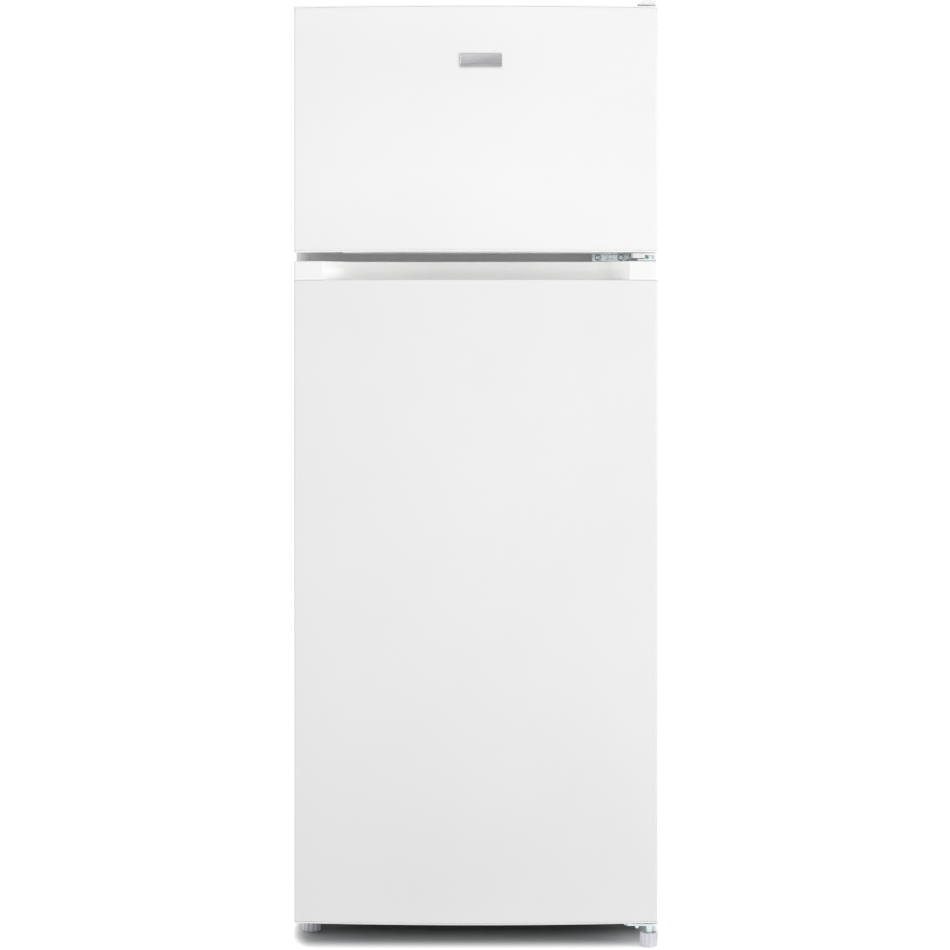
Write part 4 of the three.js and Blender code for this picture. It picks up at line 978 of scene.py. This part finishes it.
def compressor_shape():
    """A deep-drawn can in two halves on a pressed plate, with its pipe stubs."""
    can = [
        (0.01, CAN_BOTTOM), (44, CAN_BOTTOM), (51, 56), (55.5, 60), (57.2, 66), (58.6, 118), (59.2, 120.5),
        (60, 121), (60, 130), (59.2, 130.8), (58, 132), (57.2, 172), (55.5, 179), (51.5, 186.5), (44, 193),
        (34, 197.4), (22, 199.5), (0.01, 200),
    ]
    shape = Shape().turned(can, (comp_x, comp_y, 0), sides=72)
    plate = rounded_rectangle(comp_x - 84, comp_x + 84, comp_y - 50, comp_y + 50, 14)
    shape.plate(plate, "z", CAN_BOTTOM - 3, CAN_BOTTOM + 0.4, 1.0)
    for x, y, z, length, radius in ((-68, 22, 92, 22, 4.5), (-68, 10, 140, 22, 5.5), (46, 10, 112, 26, 4)):
        ends = [(radius * 0.8, x), (radius, x + 0.8), (radius, x + length)]
        shape.turned(ends, (comp_x, comp_y + y, z), "x", sides=20)
    return shape


def at_plate_corners(profile):
    """The same turned form at each of the four fixings of the compressor's plate."""
    shape = Shape()
    for i in (-1, 1):
        for j in (-1, 1):
            shape.turned(profile, (comp_x + 72 * i, comp_y + 38 * j, 0), sides=24)
    return shape


piece("compressor_can", compressor_shape(), "cabinet", ENAMEL, ["compressor"])
grommets = at_plate_corners(
    [(7.6, 44.8), (9, 45.6), (9, 48), (7.2, 49), (7.2, 50.4), (9, 51.2), (9, 53.2), (8, 54)]
)
piece("compressor_grommets", grommets, "cabinet", RUBBER)
weld = Shape()
weld_path = arc(comp_x, comp_y, 60.2, 0, 360, 72)
weld.tube([(x, y, 121.5 + 0.5 * math.sin(i * 1.7)) for i, (x, y) in enumerate(weld_path)], 1.6, 8)
piece("compressor_weld", weld, "cabinet", ENAMEL, crease=60)
relay = Shape().bar(comp_x + 44, comp_x + 87, comp_y - 31, comp_y + 5, 77, 139, 3)
clip_path = [(comp_x + x, comp_y + y, 108) for x, y in ((42, -33), (89, -33), (89, 7))]
piece("relay_cover", relay, "cabinet", RUBBER)
piece("relay_clip", Shape().tube(clip_path, 1.1), "cabinet", ZINC, crease=60)
grommet_caps = at_plate_corners(
    [(9.5, 54), (9.5, 57), (7.5, 58.5), (4.0, 58.8), (4.0, 61.5), (3.2, 62.2), (0.01, 62.3)]
)
piece("grommet_caps", grommet_caps, "cabinet", ZINC)


def pipe_path(corners, reach):
    """The polyline with each inner corner turned into a curve that starts `reach` before it."""
    steps = 8
    points = [Vector(p) for p in corners]
    path = [points[0]]
    for before, corner, after in zip(points, points[1:], points[2:]):
        a = corner + (before - corner).normalized() * reach
        b = corner + (after - corner).normalized() * reach
        for t in [k / steps for k in range(steps + 1)]:
            path.append(a.lerp(corner, t).lerp(corner.lerp(b, t), t))
    return path + [points[-1]]


pipe_low, pipe_high = span("suction_pipe")
pipe_radius = 4.0
pipe_x, pipe_y = pipe_high.x - pipe_radius, pipe_high.y - pipe_radius
pipe_z = pipe_low.z + pipe_radius
pipe_corners = [
    (pipe_low.x, comp_y + 10, pipe_z), (pipe_x, comp_y + 10, pipe_z), (pipe_x, pipe_y, pipe_z + 35),
    (pipe_x, pipe_y, pipe_high.z),
]
suction = Shape().tube(pipe_path(pipe_corners, 12), pipe_radius, 20)
piece("suction_line", suction, "cabinet", COPPER, ["suction_pipe"], crease=60)

drier_low, drier_high = span("filter_drier")
drier_profile = [
    (4, 0), (4.5, 0.6), (4.5, 11), (5.2, 12.4), (7.6, 14.6), (9, 18), (9, 26), (8.6, 26.6), (9, 27.2),
    (9, 70), (8.6, 70.6), (9, 71.2), (9, 78), (7.4, 82), (4.2, 85), (3, 86.5), (3, 93.4), (2.6, 94),
]
drier_centre = (0, (drier_low.y + drier_high.y) / 2, (drier_low.z + drier_high.z) / 2)
drier = Shape().turned([(r, drier_low.x + x) for r, x in drier_profile], drier_centre, "x", sides=36)
piece("drier_canister", drier, "cabinet", COPPER, ["filter_drier"])


# ---- CAD nodes that stay
BEVEL_ANGLE = 32  # edges sharper than this are rounded, in degrees


def finish_node(name, surface, bevel):
    """Gives a CAD node its material, rounded edges and smooth shading, with its mesh as it is."""
    node = NODES[name]
    mesh = node.data
    mesh.materials.clear()
    mesh.materials.append(surface)
    custom = mesh.attributes.get("custom_normal")
    if custom:
        mesh.attributes.remove(custom)
    mesh.shade_smooth()
    weld_points = node.modifiers.new("weld", "WELD")
    weld_points.merge_threshold = 0.002 * MM
    flat = node.modifiers.new("flat", "DECIMATE")
    flat.decimate_type = "DISSOLVE"
    flat.angle_limit = math.radians(0.3)
    rounding = node.modifiers.new("rounding", "BEVEL")
    rounding.width = bevel * MM
    rounding.segments = 3
    rounding.limit_method = "ANGLE"
    rounding.angle_limit = math.radians(BEVEL_ANGLE)
    rounding.harden_normals = False
    weighted = node.modifiers.new("weighted", "WEIGHTED_NORMAL")
    weighted.keep_sharp = True
    weighted.weight = 80


for surface, bevel, names in (
    (GALVANISED, 0.25, "base_pan"),
    (GALVANISED, 0.3, "compressor_tray"),
    (PAINT, 0.3, "mullion_bar"),
    (FOAM, 0.3, "cabinet_insulation freezer_door_insulation fridge_door_insulation"),
    (ALUMINIUM, 0.3, "freezer_evaporator fridge_evaporator"),
    (ENAMEL, 0.1, "condenser_coil"),
    (TRIM, 0.3, "drain_tube"),
    (TRIM, 1.0, "control_box"),
    (TRIM, 0.6, "light_switch_button"),
    (RUBBER, 0.8, "mains_inlet_gland"),
    (RUBBER, 1.2, "rear_roller_left rear_roller_right"),
    (ZINC, 0.5, "top_hinge_bracket top_hinge_pin middle_hinge_pin bottom_hinge_pin"),
    (ZINC, 0.45, "middle_hinge_bracket bottom_hinge_bracket"),
    (ZINC, 0.18, "middle_hinge_screw_left middle_hinge_screw_right"),
    (ZINC, 0.3, "bottom_hinge_screw"),
    (CLEAR, 0.8, "lamp_lens"),
    (CAP, 1.1, "freezer_door_top_cap freezer_door_bottom_cap fridge_door_bottom_cap"),
    (FOOT, 0.3, "levelling_foot_left levelling_foot_right"),
    (TRAY_GREY, 0.8, "ice_tray"),
):
    for name in names.split():
        finish_node(name, surface, bevel)


# ---- studio
WORLD_BASE = 0.45  # backdrop strength to the front, the left and below
WORLD_RISE = (0.08, 0.62, 0.12)  # how much it gains towards the right, the back and above
# The floor's painted shadow beneath the refrigerator, in metres: its centre, its half sizes, and how
# much sooner its edge fades to the sides than to the front.
PAINTED_SHADOW_CENTRE = (0, 0.03, 0)
PAINTED_SHADOW_HALF = (0.249, 0.1, 0)
PAINTED_SHADOW_SPREAD = (4, 1, 0)
# Painted shadow: the floor's colour, darkest beneath the refrigerator, by distance from that middle.
PAINTED_SHADOW_TONE = ((0, 0.1), (0.023, 0.25), (0.055, 0.5), (0.09, 0.6))
# Painted light: how strongly the floor glows, by that distance, brightest in a ring round the painted
# shadow, and by place along Y, dimmer in front of the doors as a painted shade.
PAINTED_GLOW = (
    (0.05, 0), (0.09, 0.02), (0.11, 0.1), (0.14, 0.42), (0.17, 0.85), (0.21, 0.65), (0.3, 0.45),
    (0.6, 0.5), (1, 0.55),
)
PAINTED_GLOW_ALONG = (
    (-4, 1.0), (-2, 0.95), (-1.1, 0.7), (-0.6, 0.58), (-0.35, 0.68), (-0.12, 0.93), (0.3, 1.0), (1, 1.0),
)
PAINTED_GLOW_STRENGTH = 1.3
FLOOR_REACH = 40.0


def grey_ramp(tree, factor, stops, curve="B_SPLINE"):
    """A ramp of greys through (place, tone) stops."""
    node = tree.nodes.new("ShaderNodeValToRGB")
    node.color_ramp.interpolation = curve
    node.color_ramp.elements.remove(node.color_ramp.elements[1])
    for i, (place, tone) in enumerate(stops):
        stop = node.color_ramp.elements[0] if i == 0 else node.color_ramp.elements.new(place)
        stop.position = place
        stop.color = (tone, tone, tone, 1)
    tree.links.new(factor, node.inputs["Fac"])
    return node.outputs["Color"]


def floor_with_painted_light():
    """A matt floor with a painted shadow under the refrigerator, painted light round it, that runs into the
    backdrop.
    """
    made = material("studio_floor_painted_light", (0.6, 0.6, 0.6), 0.8, tint=0.01, tint_size=900, bump=0.01, bump_size=40)
    tree = made.node_tree
    new = tree.nodes.new
    place = new("ShaderNodeTexCoord").outputs["Object"]
    point = place
    for operation, value in (
        ("SUBTRACT", PAINTED_SHADOW_CENTRE), ("ABSOLUTE", (0, 0, 0)), ("SUBTRACT", PAINTED_SHADOW_HALF),
        ("MAXIMUM", (0, 0, 0)), ("MULTIPLY", PAINTED_SHADOW_SPREAD),
    ):
        step = put(tree, new("ShaderNodeVectorMath"), {0: point, 1: value})
        step.operation = operation
        point = step.outputs["Vector"]
    away = put(tree, new("ShaderNodeVectorMath"), {0: point})
    away.operation = "LENGTH"
    split = put(tree, new("ShaderNodeSeparateXYZ"), {"Vector": place})
    front, rear = PAINTED_GLOW_ALONG[0][0], PAINTED_GLOW_ALONG[-1][0]
    limits = {"From Min": front, "From Max": rear}
    along = put(tree, new("ShaderNodeMapRange"), {"Value": split.outputs["Y"], **limits})
    shares = [((y - front) / (rear - front), share) for y, share in PAINTED_GLOW_ALONG]
    share = grey_ramp(tree, along.outputs["Result"], shares, "EASE")
    strength = put(tree, new("ShaderNodeMath"), {0: share, 1: PAINTED_GLOW_STRENGTH})
    strength.operation = "MULTIPLY"
    # Painted shadow in the base colour beneath the refrigerator, painted light in the emission round it.
    put(tree, tree.nodes["Principled BSDF"], {
        "Base Color": grey_ramp(tree, away.outputs["Value"], PAINTED_SHADOW_TONE),
        "Emission Color": grey_ramp(tree, away.outputs["Value"], PAINTED_GLOW),
        "Emission Strength": strength.outputs["Value"],
    })
    return made


def studio():
    """The floor, and a backdrop that is brightest behind the refrigerator."""
    floor = bpy.data.meshes.new("studio_floor")
    corners = [(i * FLOOR_REACH, j * FLOOR_REACH, 0) for i, j in ((-1, -1), (1, -1), (1, 1), (-1, 1))]
    floor.from_pydata(corners, [], [(0, 1, 2, 3)])
    ground = bpy.data.objects.new("studio_floor", floor)
    bpy.context.scene.collection.objects.link(ground)
    floor.materials.append(floor_with_painted_light())
    world = bpy.data.worlds.new("studio_world")
    bpy.context.scene.world = world
    world.use_nodes = True
    tree = world.node_tree
    new = tree.nodes.new
    direction = new("ShaderNodeTexCoord").outputs["Generated"]
    ahead = put(tree, new("ShaderNodeVectorMath"), {0: direction})
    ahead.operation = "MAXIMUM"
    rise = put(tree, new("ShaderNodeVectorMath"), {0: ahead.outputs["Vector"], 1: WORLD_RISE})
    rise.operation = "DOT_PRODUCT"
    level = put(tree, new("ShaderNodeMath"), {0: rise.outputs["Value"], 1: WORLD_BASE})
    backdrop = {"Color": (1, 1, 1, 1), "Strength": level.outputs["Value"]}
    put(tree, tree.nodes["Background"], backdrop)


def softbox(name, location, target, size, power):
    """A rectangular light, in metres and watts, turned towards a target."""
    light = bpy.data.lights.new(name, "AREA")
    light.shape = "RECTANGLE"
    light.size, light.size_y = size
    light.energy = power
    lamp = bpy.data.objects.new(name, light)
    lamp.location = location
    lamp.rotation_euler = (Vector(target) - Vector(location)).to_track_quat("-Z", "Y").to_euler()
    bpy.context.scene.collection.objects.link(lamp)


def camera():
    """A long lens in front of the doors, a little over half way up."""
    lens = bpy.data.cameras.new("camera")
    lens.lens = 99.7
    lens.sensor_width = 36
    lens.shift_y = -0.05
    lens.clip_end = 100
    eye = bpy.data.objects.new("camera", lens)
    eye.location = (-0.0014, -4.197, 0.8007)
    eye.rotation_euler = (math.radians(89.8), 0, 0)
    bpy.context.scene.collection.objects.link(eye)
    bpy.context.scene.camera = eye


studio()
softbox("key", (2.95, -2.15, 1.6), (0.0, -0.25, 1.15), (0.8, 1.6), 25)
softbox("fill", (-0.5, -4.3, 1.4), (0.0, -0.25, 1.15), (3.0, 1.8), 11)
softbox("top", (-0.4, -1.7, 3.2), (0.0, -0.2, 1.2), (2.4, 1.6), 14)
camera()
view_settings = bpy.context.scene.view_settings
view_settings.view_transform = "Standard"
view_settings.look = "None"
